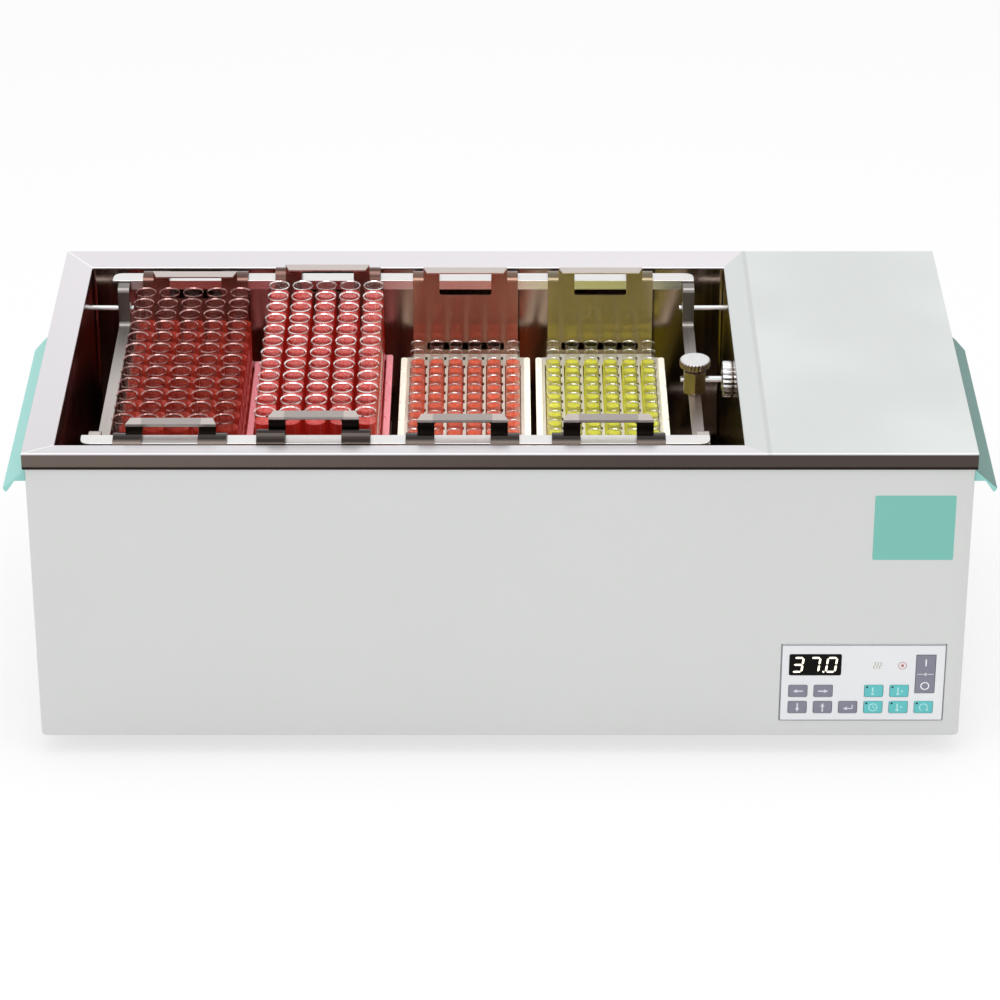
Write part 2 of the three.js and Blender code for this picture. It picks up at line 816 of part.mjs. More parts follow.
function falseFloor() {
  const z0 = bathFloor + floorRise;
  const x = [bathLeft + floorInset, bathRight - floorInset];
  const y = [-bathBack + floorInset, bathBack - floorInset];
  const sheet = roundedRectangle(x, y, floorSlotWidth);
  const pitch = (x[1] - x[0]) / floorSlotCount;
  sheet.holes = Array.from({ length: floorSlotCount }, (_, i) => roundedRectangle(
    [x[0] + (i + 0.5) * pitch - floorSlotWidth / 2, x[0] + (i + 0.5) * pitch + floorSlotWidth / 2],
    [y[0] + floorSlotWidth * 2, y[1] - floorSlotWidth * 2],
    floorSlotWidth / 4,
    THREE.Path,
  ));
  const legs = x.flatMap((px, i) => y.map((py, j) => toSolid(
    cylinder(floorLegRadius, [bathFloor + seatGap, z0 + floorSheet / 2], 'z', smallFacets).translate(
      px + (i ? -1 : 1) * floorSlotWidth,
      py + (j ? -1 : 1) * floorSlotWidth,
      0,
    ),
  )));
  return join([toSolid(upright(sheet, [z0, z0 + floorSheet])), ...legs]);
}

function temperatureProbe() {
  const wall = bathRight + tankSheet;
  const stem = cylinder(probeRadius, [bathRight - probeLength, wall + probeFlangeLength * 3], 'x', smallFacets);
  const flange = cylinder(
    probeFlangeRadius,
    [bathRight - seatGap - probeFlangeLength, bathRight - seatGap],
    'x',
    6,
  );
  return moved(toSolid(stem).add(toSolid(flange)), 0, probeY, bathFloor + probeRise);
}

// A flat top strip with one lip down its inner edge; side is 1 at the back
function carriageRail(side) {
  const y = side > 0 ? [railInner, railOuter] : [-railOuter, -railInner];
  const corner = railCornerRadius;
  const far = side * railOuter;
  const near = side * railInner;
  const strip = new THREE.Shape();
  strip.moveTo(carriageLeft, near);
  strip.lineTo(carriageLeft, far - side * corner);
  strip.quadraticCurveTo(carriageLeft, far, carriageLeft + corner, far);
  strip.lineTo(carriageRight - corner, far);
  strip.quadraticCurveTo(carriageRight, far, carriageRight, far - side * corner);
  strip.lineTo(carriageRight, near);
  const lip = block(
    [strapLeft + strapWidth + seatGap, strapRight - seatGap],
    side > 0 ? [y[0], y[0] + railSheet] : [y[1] - railSheet, y[1]],
    [railTop - railLip, railTop - railSheet / 2],
  );
  return toSolid(upright(strip, [railUnderside, railTop], hookFacets)).add(lip);
}

// A strap that drops from under one rail, runs below and rises to the other
function carriageStrap() {
  const top = railUnderside - seatGap;
  const low = top - strapDepth;
  const r = strapBendRadius;
  const t = strapSheet;
  const foot = railOuter - railWidth / 4;
  const shape = new THREE.Shape();
  shape.moveTo(foot, top);
  shape.lineTo(strapOuter - t + r, top);
  shape.quadraticCurveTo(strapOuter - t, top, strapOuter - t, top - r);
  shape.lineTo(strapOuter - t, low + t + r);
  shape.quadraticCurveTo(strapOuter - t, low + t, strapOuter - t - r, low + t);
  shape.lineTo(-strapOuter + t + r, low + t);
  shape.quadraticCurveTo(-strapOuter + t, low + t, -strapOuter + t, low + t + r);
  shape.lineTo(-strapOuter + t, top - r);
  shape.quadraticCurveTo(-strapOuter + t, top, -strapOuter + t - r, top);
  shape.lineTo(-foot, top);
  shape.lineTo(-foot, top - t);
  shape.lineTo(-strapOuter - r, top - t);
  shape.quadraticCurveTo(-strapOuter, top - t, -strapOuter, top - t - r);
  shape.lineTo(-strapOuter, low + r);
  shape.quadraticCurveTo(-strapOuter, low, -strapOuter + r, low);
  shape.lineTo(strapOuter - r, low);
  shape.quadraticCurveTo(strapOuter, low, strapOuter, low + r);
  shape.lineTo(strapOuter, top - t - r);
  shape.quadraticCurveTo(strapOuter, top - t, strapOuter + r, top - t);
  shape.lineTo(foot, top - t);
  return alongX(shape, [0, strapWidth], tankFacets);
}

// A pin through the tank's end wall with its nut outside; side is 1 on the right
function guidePin(side) {
  const wall = side > 0 ? bathRight + tankSheet : bathLeft - tankSheet;
  const bush = side > 0 ? strapRight : strapLeft + strapWidth;
  const tip = bush - side * pinOverlap;
  const nutStart = wall + side * seatGap;
  const nutEnd = nutStart + side * pinNutLength;
  const span = (a, b) => [Math.min(a, b), Math.max(a, b)];
  const stem = cylinder(pinRadius, span(tip, nutEnd), 'x', smallFacets);
  const nut = cylinder(pinNutRadius, span(nutStart, nutEnd), 'x', 6);
  return toSolid(stem).add(toSolid(nut));
}

function slideBush() {
  const sleeve = toSolid(cylinder(bushRadius, [0, strapWidth], 'x', roundFacets));
  const bore = cylinder(
    boreRadius(pinRadius, bushClearance),
    [-cutOverrun, strapWidth + cutOverrun],
    'x',
    smallFacets,
  );
  return sleeve.subtract(toSolid(bore));
}

function couplingBlock() {
  const hexRadius = blockAcrossFlats / Math.sqrt(3);
  const hex = toSolid(cylinder(hexRadius, [blockBottom, blockTop], 'z', 6));
  const rodBore = cylinder(
    boreRadius(rodRadius, seatGap),
    [-blockAcrossFlats, blockAcrossFlats],
    'x',
    smallFacets,
  );
  const screwBore = cylinder(
    boreRadius(screwStemRadius, seatGap),
    [rodZ, blockTop + cutOverrun],
    'z',
    smallFacets,
  );
  return cut(hex, [toSolid(rodBore.translate(0, 0, rodZ)), toSolid(screwBore)]);
}

function thumbScrew() {
  const neckBottom = blockTop + seatGap;
  const headBottom = neckBottom + screwNeckHeight;
  const head = toSolid(upright(knurled(screwHeadRadius), [headBottom, headBottom + screwHeadHeight]));
  const neck = toSolid(cylinder(screwNeckRadius, [neckBottom, headBottom + weldDistance], 'z'));
  const stem = toSolid(cylinder(screwStemRadius, [rodZ + rodRadius + seatGap, headBottom], 'z', smallFacets));
  return join([head, neck, stem]);
}

function glandNut() {
  const disc = toSolid(alongX(knurled(glandRadius), [bathRight - seatGap - glandLength, bathRight - seatGap]));
  const bore = cylinder(
    boreRadius(rodRadius, runningGap),
    [bathRight - glandLength - cutOverrun, bathRight + cutOverrun],
    'x',
    smallFacets,
  );
  return disc.subtract(toSolid(bore));
}

// Push rod with the slotted yoke at its drive end; the slot takes the crank pin
function pushRod() {
  const slotHalf = crankPinRadius + yokeSlotClearance;
  const yokeX = [-slotHalf - yokeMargin, slotHalf + yokeMargin];
  const slotY = [-strokeHalf - slotHalf, strokeHalf + slotHalf];
  const plate = roundedRectangle(yokeX, [slotY[0] - yokeMargin, slotY[1] + yokeMargin], yokeMargin / 2);
  plate.holes = [roundedRectangle([-slotHalf, slotHalf], slotY, crankGap, THREE.Path)];
  const yoke = toSolid(upright(plate, [-yokeHeight / 2, yokeHeight / 2]).translate(crankX, 0, 0));
  const bossEnd = crankX + yokeX[0];
  const boss = toSolid(cylinder(yokeBossRadius, [bossEnd - yokeBossLength, bossEnd + yokeMargin / 4], 'x'));
  const stemStart = blockX - blockAcrossFlats / 2 - rodRadius;
  const stem = toSolid(cylinder(rodRadius, [stemStart, bossEnd], 'x', smallFacets));
  return join([yoke, boss, stem]);
}

// Disc with its eccentric pin, on the upright shaft
function crank() {
  const disc = turned([
    [0, discBottom], [crankDiscRadius, discBottom], [crankDiscRadius, discTop - crankGap],
    [crankDiscRadius - crankGap, discTop], [0, discTop],
  ]);
  const pinTop = yokeBottom + yokeHeight + crankGap;
  const pin = cylinder(crankPinRadius, [discTop - crankGap, pinTop], 'z', smallFacets).translate(0, strokeHalf, 0);
  const shaft = cylinder(shaftRadius, [pulleyBottom - pulleyFlange, discBottom + crankGap], 'z');
  return join([toSolid(disc), toSolid(pin), toSolid(shaft)]);
}

function ringOf(outerProfile, bore, [z0, z1]) {
  const body = toSolid(turned(outerProfile));
  return body.subtract(toSolid(cylinder(bore, [z0 - cutOverrun, z1 + cutOverrun], 'z', smallFacets)));
}

function bearingHousing() {
  const bottom = bracketTop + seatGap;
  const flangeTop = bottom + bearingFlangeHeight;
  return ringOf([
    [0, bottom], [bearingFlangeRadius, bottom], [bearingFlangeRadius, flangeTop],
    [bearingRadius, flangeTop], [bearingRadius, bearingTop], [0, bearingTop],
  ], boreRadius(shaftRadius, runningGap), [bottom, bearingTop]);
}

function pulleyProfile(radius) {
  const low = pulleyBottom + pulleyFlange;
  const high = pulleyTop - pulleyFlange;
  const flange = radius + pulleyFlange;
  return [
    [0, pulleyBottom], [flange, pulleyBottom], [flange, low], [radius, low],
    [radius, high], [flange, high], [flange, pulleyTop], [0, pulleyTop],
  ];
}

function drivePulley() {
  return ringOf(pulleyProfile(drivePulleyRadius), boreRadius(shaftRadius, seatGap), [pulleyBottom, pulleyTop]);
}

function motorPulley() {
  const shaft = cylinder(motorShaftRadius, [motorTop + seatGap, pulleyTop + pulleyFlange], 'z', smallFacets);
  return toSolid(turned(pulleyProfile(motorPulleyRadius))).add(toSolid(shaft));
}

// The belt follows both pulleys and the two straight runs between them
function driveBelt() {
  const loop = (grow, Kind) => {
    const big = drivePulleyRadius + grow;
    const small = motorPulleyRadius + grow;
    const lean = Math.acos((big - small) / motorDistance);
    const shape = new Kind();
    shape.absarc(0, 0, big, lean, 2 * Math.PI - lean);
    shape.absarc(motorDistance, 0, small, -lean, lean);
    return shape;
  };
  const belt = loop(seatGap + beltThickness, THREE.Shape);
  belt.holes = [loop(seatGap, THREE.Path)];
  const middle = (pulleyTop + pulleyBottom) / 2;
  return upright(belt, [middle - beltWidth / 2, middle + beltWidth / 2], smallFacets);
}

function driveMotor() {
  const bottom = motorTop - motorLength;
  const capBottom = motorTop - motorCapLength;
  return turned([
    [0, bottom], [motorCapRadius, bottom], [motorCapRadius, bottom + motorCapLength],
    [motorRadius, bottom + motorCapLength * 1.5], [motorRadius, capBottom - motorCapLength / 2],
    [motorCapRadius, capBottom], [motorCapRadius, motorTop], [0, motorTop],
  ]);
}

// Two legs on the base with the bearing plate on top and the motor shelf between them
function driveBracket() {
  const y = [rodY - bracketDepth / 2, rodY + bracketDepth / 2];
  const low = baseTop + seatGap;
  const frame = [
    block([bracketLeft, bracketRight], y, [bracketTop - bracketSheet, bracketTop]),
    block([bracketLeft, bracketLeft + bracketSheet], y, [low, bracketTop]),
    block([bracketRight - bracketSheet, bracketRight], y, [low, bracketTop]),
    block([motorX - motorRadius, bracketRight], y, [shelfTop - bracketSheet, shelfTop]),
  ];
  const hole = (x, radius, z) => toSolid(
    cylinder(
      boreRadius(radius, runningGap),
      [z - bracketSheet - cutOverrun, z + cutOverrun],
      'z',
      smallFacets,
    ).translate(x, rodY, 0),
  );
  return cut(join(frame), [
    hole(crankX, shaftRadius, bracketTop),
    hole(motorX, motorShaftRadius, shelfTop),
  ]);
}

// One end of a rack: plate with handle window, folded bar, two hook arms over the rail
function rackEnd(rack, bottom, side) {
  const plateY = side > 0
    ? [rackPlateInner, rackPlateOuter]
    : [-rackPlateOuter, -rackPlateInner];
  const spring = seatGap - rack.rise
    - rack.hookRise * Math.sqrt(1 - ((railWidth / 2) / (railWidth / 2 + hookGap / 2)) ** 2);
  const half = handleWidth / 2;
  const ear = earWidth / 2;
  const shoulder = spring + rackSheet;
  const face = outline([
    [-ear, bottom], [ear, bottom], [ear, shoulder], [half, shoulder],
    [half, 0], [-half, 0], [-half, shoulder], [-ear, shoulder],
  ]);
  const slotTop = -deckDrop + slotRiseBelowDeck + slotHeight + rackSheet;
  face.holes = [
    roundedRectangle(
      [-windowWidth / 2, windowWidth / 2],
      [-windowDrop, -windowTopRim],
      rackSheet,
      THREE.Path,
    ),
    roundedRectangle([-slotWidth / 2, slotWidth / 2], [slotTop - slotHeight, slotTop], rackSheet, THREE.Path),
  ];
  const plate = toSolid(alongY(face, plateY));
  const barY = side > 0
    ? { near: rackPlateOuter, far: rackPlateInner - barReach }
    : { near: -rackPlateOuter, far: -rackPlateInner + barReach };
  const bar = toSolid(upright(
    outline([
      [-half, barY.near], [half, barY.near],
      [half - barTaper, barY.far], [-half + barTaper, barY.far],
    ]),
    [-rackSheet, 0],
  ));
  const centreY = (railInner + railOuter) / 2 + (hookGap - rackEndGap) / 2;
  const inner = railWidth / 2 + hookGap;
  const outer = inner + rackSheet;
  const arch = new THREE.Shape();
  arch.moveTo(side * centreY + outer, spring);
  arch.absellipse(side * centreY, spring, outer, rack.hookRise + rackSheet, 0, Math.PI);
  arch.lineTo(side * centreY - inner, spring);
  arch.absellipse(side * centreY, spring, inner, rack.hookRise, Math.PI, 0, true);
  const arms = [[-ear, -windowWidth / 2], [windowWidth / 2, ear]].map(
    (span) => toSolid(alongX(arch, span, hookFacets)),
  );
  const flangeY = side > 0
    ? [centreY + inner, centreY + outer]
    : [-centreY - outer, -centreY - inner];
  const flange = block([-half, half], flangeY, [spring - hookFlangeHeight, spring + rackSheet / 2]);
  return join([plate, bar, ...arms, flange]);
}

function deckPlate(rack) {
  const { tube } = rack;
  const halfX = rackWidth / 2;
  const sheet = roundedRectangle([-halfX, halfX], [-rackDeckHalf, rackDeckHalf], deckCornerRadius);
  const slotHalf = tube.radius + tubeClearance / 2;
  const reach = rowPlaces(tube).at(-1) + slotHalf;
  sheet.holes = columnPlaces(tube).map((x) => roundedRectangle(
    [x - slotHalf, x + slotHalf],
    [-reach, reach],
    slotHalf / 2,
    THREE.Path,
  ));
  const plate = toSolid(upright(sheet, [-deckDrop - rackSheet, -deckDrop]));
  const tabs = [-1, 1].map((side) => block(
    [-earWidth / 2, earWidth / 2],
    side > 0
      ? [rackDeckHalf - rackSheet, rackPlateOuter - rackSheet / 2]
      : [-rackPlateOuter + rackSheet / 2, -rackDeckHalf + rackSheet],
    [-deckDrop - rackSheet, -deckDrop],
  ));
  const edges = [-1, 1].map((side) => block(
    side > 0 ? [halfX - rackSheet, halfX] : [-halfX, -halfX + rackSheet],
    [-rackDeckHalf + deckCornerRadius, rackDeckHalf - deckCornerRadius],
    [-deckDrop - deckEdgeHeight, -deckDrop - rackSheet / 2],
  ));
  return join([plate, ...tabs, ...edges]);
}

// As many tubes as fit between two edges, spread evenly about the middle
function evenPlaces(half, pitch) {
  const count = Math.floor(2 * (half - tubeMargin) / pitch);
  return Array.from({ length: count }, (_, i) => (i - (count - 1) / 2) * pitch);
}

const columnPlaces = (tube) => evenPlaces(rackWidth / 2, tube.pitchX);
const rowPlaces = (tube) => evenPlaces(rackDeckHalf, tube.pitchY);

function rackFrame(rack) {
  const bottom = rackBottom(rack);
  const ledges = [-1, 1].map((side) => block(
    [-earWidth / 2, earWidth / 2],
    side > 0
      ? [rackPlateInner - ledgeReach, rackPlateOuter]
      : [-rackPlateOuter, -rackPlateInner + ledgeReach],
    [bottom, bottom + rackSheet],
  ));
  return join([
    rackEnd(rack, bottom, -1),
    rackEnd(rack, bottom, 1),
    deckPlate(rack),
    ...ledges,
  ]);
}

// Filled tubes stand on the tray that rests on the frame's ledges
function rackTubes(rack) {
  const { tube } = rack;
  const trayZ = -trayDrop(tube);
  const tray = block(
    [-rackWidth / 2 + trayMargin, rackWidth / 2 - trayMargin],
    [-rackDeckHalf, rackDeckHalf],
    [trayZ - rackSheet, trayZ],
  );
  const tubes = columnPlaces(tube).flatMap((x) => rowPlaces(tube).map((y) => {
    const one = cylinder(tube.radius, [trayZ - rackSheet / 2, -tube.rimDrop], 'z', tubeSides);
    return toSolid(one.translate(x, y, 0));
  }));
  return join([tray, ...tubes]);
}

// Assembly
const housing = new THREE.Group();
addMesh(housing, 'top_deck', topDeck(), finishes.brushed);
addMesh(housing, 'bath_tank', bathTank(), finishes.polished);
addMesh(housing, 'outer_casing', outerCasing(), finishes.painted);
addMesh(housing, 'rear_panel', rearPanel(), finishes.painted);
addMesh(housing, 'base_plate', basePlate(), finishes.brushed);
addMesh(housing, 'left_grip', carryingGrip(-1), finishes.grip);
addMesh(housing, 'right_grip', carryingGrip(1), finishes.grip);
addMesh(housing, 'mains_inlet', mainsInlet(), finishes.dark);
[['front_left', -1, -1], ['front_right', 1, -1], ['rear_left', -1, 1], ['rear_right', 1, 1]].forEach(
  ([place, sideX, sideY]) => {
    const mesh = addMesh(housing, `foot_${place}`, foot(), finishes.rubber);
    mesh.position.set(sideX * (deckRight - footInsetX), sideY * (deckBack - footInsetY), 0);
  },
);
instrument.add(housing);

const keypad = new THREE.Group();
addMesh(keypad, 'control_panel', controlPanel(), finishes.panel);
addMesh(keypad, 'display_window', displayWindow(), finishes.display);
addMesh(keypad, 'control_board', controlBoard(), finishes.board);
keyPlaces.forEach(({ name, x, z, finish }) => {
  addMesh(keypad, name, keyCap(), finish).position.set(x, panelFront, z);
});
addMesh(keypad, 'power_rocker', powerRocker(), finishes.greyKey).position.set(rockerX, panelFront, rockerZ);
instrument.add(keypad);

const bathFittings = new THREE.Group();
addMesh(bathFittings, 'heater_element', heaterElement(), finishes.copper);
addMesh(bathFittings, 'false_floor', falseFloor(), finishes.brushed);
addMesh(bathFittings, 'temperature_probe', temperatureProbe(), finishes.brushed);
addMesh(bathFittings, 'gland_nut', glandNut(), finishes.brushed).position.set(0, rodY, rodZ);
[['front_left', -1, -1], ['front_right', 1, -1], ['rear_left', -1, 1], ['rear_right', 1, 1]].forEach(
  ([place, sideX, sideY]) => {
    const pin = addMesh(bathFittings, `guide_pin_${place}`, guidePin(sideX), finishes.brushed);
    pin.position.set(0, sideY * pinY, pinZ);
    const bush = addMesh(bathFittings, `slide_bush_${place}`, slideBush(), finishes.nylon);
    bush.position.set(sideX > 0 ? strapRight : strapLeft, sideY * pinY, pinZ);
  },
);
instrument.add(bathFittings);

const carriage = new THREE.Group();
addMesh(carriage, 'front_rail', carriageRail(-1), finishes.brushed);
addMesh(carriage, 'rear_rail', carriageRail(1), finishes.brushed);
addMesh(carriage, 'left_strap', carriageStrap(), finishes.brushed).position.x = strapLeft;
addMesh(carriage, 'right_strap', carriageStrap(), finishes.brushed).position.x = strapRight;
addMesh(carriage, 'coupling_block', couplingBlock(), finishes.bronze).position.set(blockX, rodY, 0);
addMesh(carriage, 'thumb_screw', thumbScrew(), finishes.bronze).position.set(blockX, rodY, 0);
addMesh(carriage, 'push_rod', pushRod(), finishes.brushed).position.set(0, rodY, rodZ);
instrument.add(carriage);

const drive = new THREE.Group();
addMesh(drive, 'drive_bracket', driveBracket(), finishes.dark);
addMesh(drive, 'crank', crank(), finishes.brushed).position.set(crankX, rodY, 0);
addMesh(drive, 'bearing_housing', bearingHousing(), finishes.brushed).position.set(crankX, rodY, 0);
addMesh(drive, 'drive_pulley', drivePulley(), finishes.dark).position.set(crankX, rodY, 0);
addMesh(drive, 'motor_pulley', motorPulley(), finishes.dark).position.set(motorX, rodY, 0);
addMesh(drive, 'drive_belt', driveBelt(), finishes.rubber).position.set(crankX, rodY, 0);
addMesh(drive, 'drive_motor', driveMotor(), finishes.dark).position.set(motorX, rodY, 0);
instrument.add(drive);

racks.forEach((rack, index) => {
  const hanging = new THREE.Group();
  hanging.position.set(rackFirstX + index * rackPitch + rack.nudge, 0, railTop + rack.rise);
  addMesh(hanging, `${rack.name}_frame`, rackFrame(rack), finishes.brushed);
  addMesh(hanging, `${rack.name}_tubes`, rackTubes(rack), { color: rack.glow, roughness: 0.2 });
  instrument.add(hanging);
});

export default instrument;
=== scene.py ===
"""Looks of a bench-top shaking water bath: finishes, tubes, keypad signs, stage and camera.

Every length is in metres. Colours are written as they look on a screen and made linear for the shaders.
"""

import json
import math

import bmesh
import bpy
import numpy as np
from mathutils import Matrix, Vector

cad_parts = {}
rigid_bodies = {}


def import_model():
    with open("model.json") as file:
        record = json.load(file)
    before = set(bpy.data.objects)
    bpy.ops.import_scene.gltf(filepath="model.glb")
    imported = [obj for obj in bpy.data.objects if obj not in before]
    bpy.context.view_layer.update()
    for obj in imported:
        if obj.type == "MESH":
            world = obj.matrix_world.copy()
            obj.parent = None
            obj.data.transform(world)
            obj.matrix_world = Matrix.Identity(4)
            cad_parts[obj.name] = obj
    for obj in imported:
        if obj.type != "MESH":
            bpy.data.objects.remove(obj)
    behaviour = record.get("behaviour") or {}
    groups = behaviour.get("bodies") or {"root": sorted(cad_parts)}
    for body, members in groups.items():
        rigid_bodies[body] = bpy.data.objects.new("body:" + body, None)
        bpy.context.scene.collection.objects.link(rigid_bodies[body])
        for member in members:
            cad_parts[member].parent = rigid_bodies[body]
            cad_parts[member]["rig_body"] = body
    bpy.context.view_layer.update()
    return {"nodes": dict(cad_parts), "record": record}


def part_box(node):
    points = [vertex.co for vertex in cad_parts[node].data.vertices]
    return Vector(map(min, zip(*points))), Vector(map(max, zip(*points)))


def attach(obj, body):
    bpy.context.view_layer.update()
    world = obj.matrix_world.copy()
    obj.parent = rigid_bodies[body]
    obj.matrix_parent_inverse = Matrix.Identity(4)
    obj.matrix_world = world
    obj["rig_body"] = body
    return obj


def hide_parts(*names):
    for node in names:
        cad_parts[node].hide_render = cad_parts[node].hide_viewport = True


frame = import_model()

bl_info = {
    "name": "Shaking water bath",
    "version": (1, 0, 0),
    "blender": (4, 5, 0),
    "location": "3D View > Sidebar > Water Bath",
    "description": "Builds the finishes and fine pieces of a shaking water bath round its frame",
    "category": "Object",
}

MM = 0.001
QUARTER = 0.5 * math.pi
TURN = 2 * math.pi
SHARP_ANGLE = math.radians(35)
FLAT_ANGLE = math.radians(1)
WELD = 1e-6


def low(node):
    """The lowest corner of a node."""
    return np.array(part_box(node)[0])


def high(node):
    """The highest corner of a node."""
    return np.array(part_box(node)[1])


def middle(node):
    """The centre of a node's box."""
    return 0.5 * (low(node) + high(node))


# Shapes worked out as whole arrays


def grid_faces(rows, columns, round_columns=False, round_rows=False):
    """Quads between the neighbours of a grid whose point (row, column) has number row * columns + column."""
    row = np.arange(rows if round_rows else rows - 1)
    column = np.arange(columns if round_columns else columns - 1)
    row, column = np.meshgrid(row, column, indexing="ij")
    next_row = (row + 1) % rows
    next_column = (column + 1) % columns
    corners = [
        row * columns + column,
        row * columns + next_column,
        next_row * columns + next_column,
        next_row * columns + column,
    ]
    return np.stack(corners, -1).reshape(-1, 4)


def loft(rings, closed=False):
    """Surface through rings that each run anticlockwise seen from where the rings lead. Both ends get a flat
    cap, or the last ring joins the first where closed."""
    rings = np.asarray(rings, float)
    rows, columns = rings.shape[:2]
    faces = grid_faces(rows, columns, True, closed).tolist()
    if not closed:
        faces.append(list(range(columns))[::-1])
        faces.append(list(range((rows - 1) * columns, rows * columns)))
    return rings.reshape(-1, 3), faces


def rounded_loop(half_x, half_y, radius, steps=6):
    """Four quarter circles joined by straight sides: a corner's centre plus radius times cosine and sine."""
    turn = np.linspace(0, QUARTER, steps)[None, :] + QUARTER * np.arange(4)[:, None]
    side_x = np.array([1, -1, -1, 1])[:, None]
    side_y = np.array([1, 1, -1, -1])[:, None]
    x = side_x * (half_x - radius) + radius * np.cos(turn)
    y = side_y * (half_y - radius) + radius * np.sin(turn)
    return np.stack([x.ravel(), y.ravel()], -1)


def lathe(profile, segments, ribs=0, rib_depth=0.0):
    """Rings of the profile's radii at its heights along Z. The radius falls by the rib depth, times the
    share in a third column, times half of one minus the cosine of ribs times the angle."""
    profile = np.asarray(profile, float)
    angle = np.linspace(0, TURN, segments, endpoint=False)[None, :]
    share = profile[:, 2:3] if profile.shape[1] > 2 else 0.0
    radius = profile[:, 0:1] - rib_depth * share * (0.5 - 0.5 * np.cos(ribs * angle))
    height = np.broadcast_to(profile[:, 1:2], radius.shape)
    return np.stack([radius * np.cos(angle), radius * np.sin(angle), height], -1)


LAID_COLUMNS = {"x": [2, 0, 1], "y": [0, 2, 1], "-y": [0, 2, 1]}
LAID_SIGNS = {"x": [1, 1, 1], "y": [-1, 1, 1], "-y": [1, -1, 1]}


def laid(rings, axis):
    """Turns a shape made along Z to run along X, along Y or against Y: its columns change places, and a sign
    keeps it right-handed."""
    return rings[..., LAID_COLUMNS[axis]] * np.array(LAID_SIGNS[axis])


def combined(parts):
    """Several shapes as one: each part's faces are numbered on from the points before it."""
    points, faces, start = [], [], 0
    for part_points, part_faces in parts:
        points.append(part_points)
        faces += [[start + number for number in face] for face in part_faces]
        start += len(part_points)
    return np.concatenate(points), faces


def repeated(points, faces, places):
    """A copy of a shape for each place: points plus the place, faces numbered on by the number of points."""
    all_points = (points[None] + places[:, None]).reshape(-1, 3)
    steps = len(points) * np.arange(len(places))
    all_faces = []
    for count in sorted({len(face) for face in faces}):
        same = np.array([face for face in faces if len(face) == count])
        all_faces += (same[None] + steps[:, None, None]).reshape(-1, count).tolist()
    return all_points, all_faces


def put(name, shape, finish, body, slot=None, replaces=(), smooth=True):
    """Makes a mesh of points and faces, dresses it, and lets it ride on its body."""
    points, faces = shape
    mesh = bpy.data.meshes.new(name)
    mesh.from_pydata(np.asarray(points).tolist(), [], faces)
    mesh.update()
    mesh.materials.append(finish.material)
    if smooth:
        mesh.shade_smooth()
        mesh.set_sharp_from_angle(angle=SHARP_ANGLE)
    piece = bpy.data.objects.new(name, mesh)
    bpy.context.scene.collection.objects.link(piece)
    return settled(piece, body, slot, replaces)


def settled(piece, body, slot, replaces):
    """Ties a piece to its body and hides the nodes that it stands for. The slot is not used."""
    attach(piece, body)
    if replaces:
        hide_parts(*replaces)
    return piece


def body_of(node):
    """The body that a node rides on."""
    return frame["nodes"][node]["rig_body"]


def slot_of(node):
    """The record's material slot of a node."""
    return next(part["material_slot"] for part in frame["record"]["subparts"] if part["node"] == node)


def refined(node, finish, edge=0.3 * MM, segments=2):
    """A copy of a node in its place, with its triangles merged, its flats joined and its edges rounded."""
    shape = bmesh.new()
    shape.from_mesh(frame["nodes"][node].data)
    bmesh.ops.remove_doubles(shape, verts=shape.verts, dist=WELD)
    bmesh.ops.dissolve_limit(shape, angle_limit=FLAT_ANGLE, verts=shape.verts, edges=shape.edges)
    mesh = bpy.data.meshes.new(node + "_finished")
    shape.to_mesh(mesh)
    shape.free()
    old_normals = mesh.attributes.get("custom_normal")
    if old_normals:
        mesh.attributes.remove(old_normals)
    mesh.materials.clear()
    mesh.materials.append(finish.material)
    mesh.shade_smooth()
    mesh.set_sharp_from_angle(angle=SHARP_ANGLE)
    piece = bpy.data.objects.new(node + "_finished", mesh)
    bpy.context.scene.collection.objects.link(piece)
    if edge:
        rounding = piece.modifiers.new("rounded_edges", "BEVEL")
        rounding.width = edge
        rounding.segments = segments
        rounding.limit_method = "ANGLE"
        rounding.angle_limit = SHARP_ANGLE
        rounding.use_clamp_overlap = True
        rounding.harden_normals = True
    return settled(piece, body_of(node), slot_of(node), [node])


# Finishes


def linear(colour, share=1.0):
    """The linear value of a share of a screen colour, at most white: ((c + 0.055) / 1.055) to the power 2.4,
    with an alpha of 1."""
    return [((min(share * part, 1.0) + 0.055) / 1.055) ** 2.4 for part in colour] + [1.0]


WHITE = (1.0, 1.0, 1.0, 1.0)


class Value:
    """A socket that can stand in an expression."""

    def __init__(self, nodes, socket):
        self.nodes = nodes
        self.socket = socket

    def __add__(self, other):
        return self.nodes.maths("ADD", self, other)

    def __sub__(self, other):
        return self.nodes.maths("SUBTRACT", self, other)

    def __rsub__(self, other):
        return self.nodes.maths("SUBTRACT", other, self)

    def __mul__(self, other):
        return self.nodes.maths("MULTIPLY", self, other)

    __radd__ = __add__
    __rmul__ = __mul__


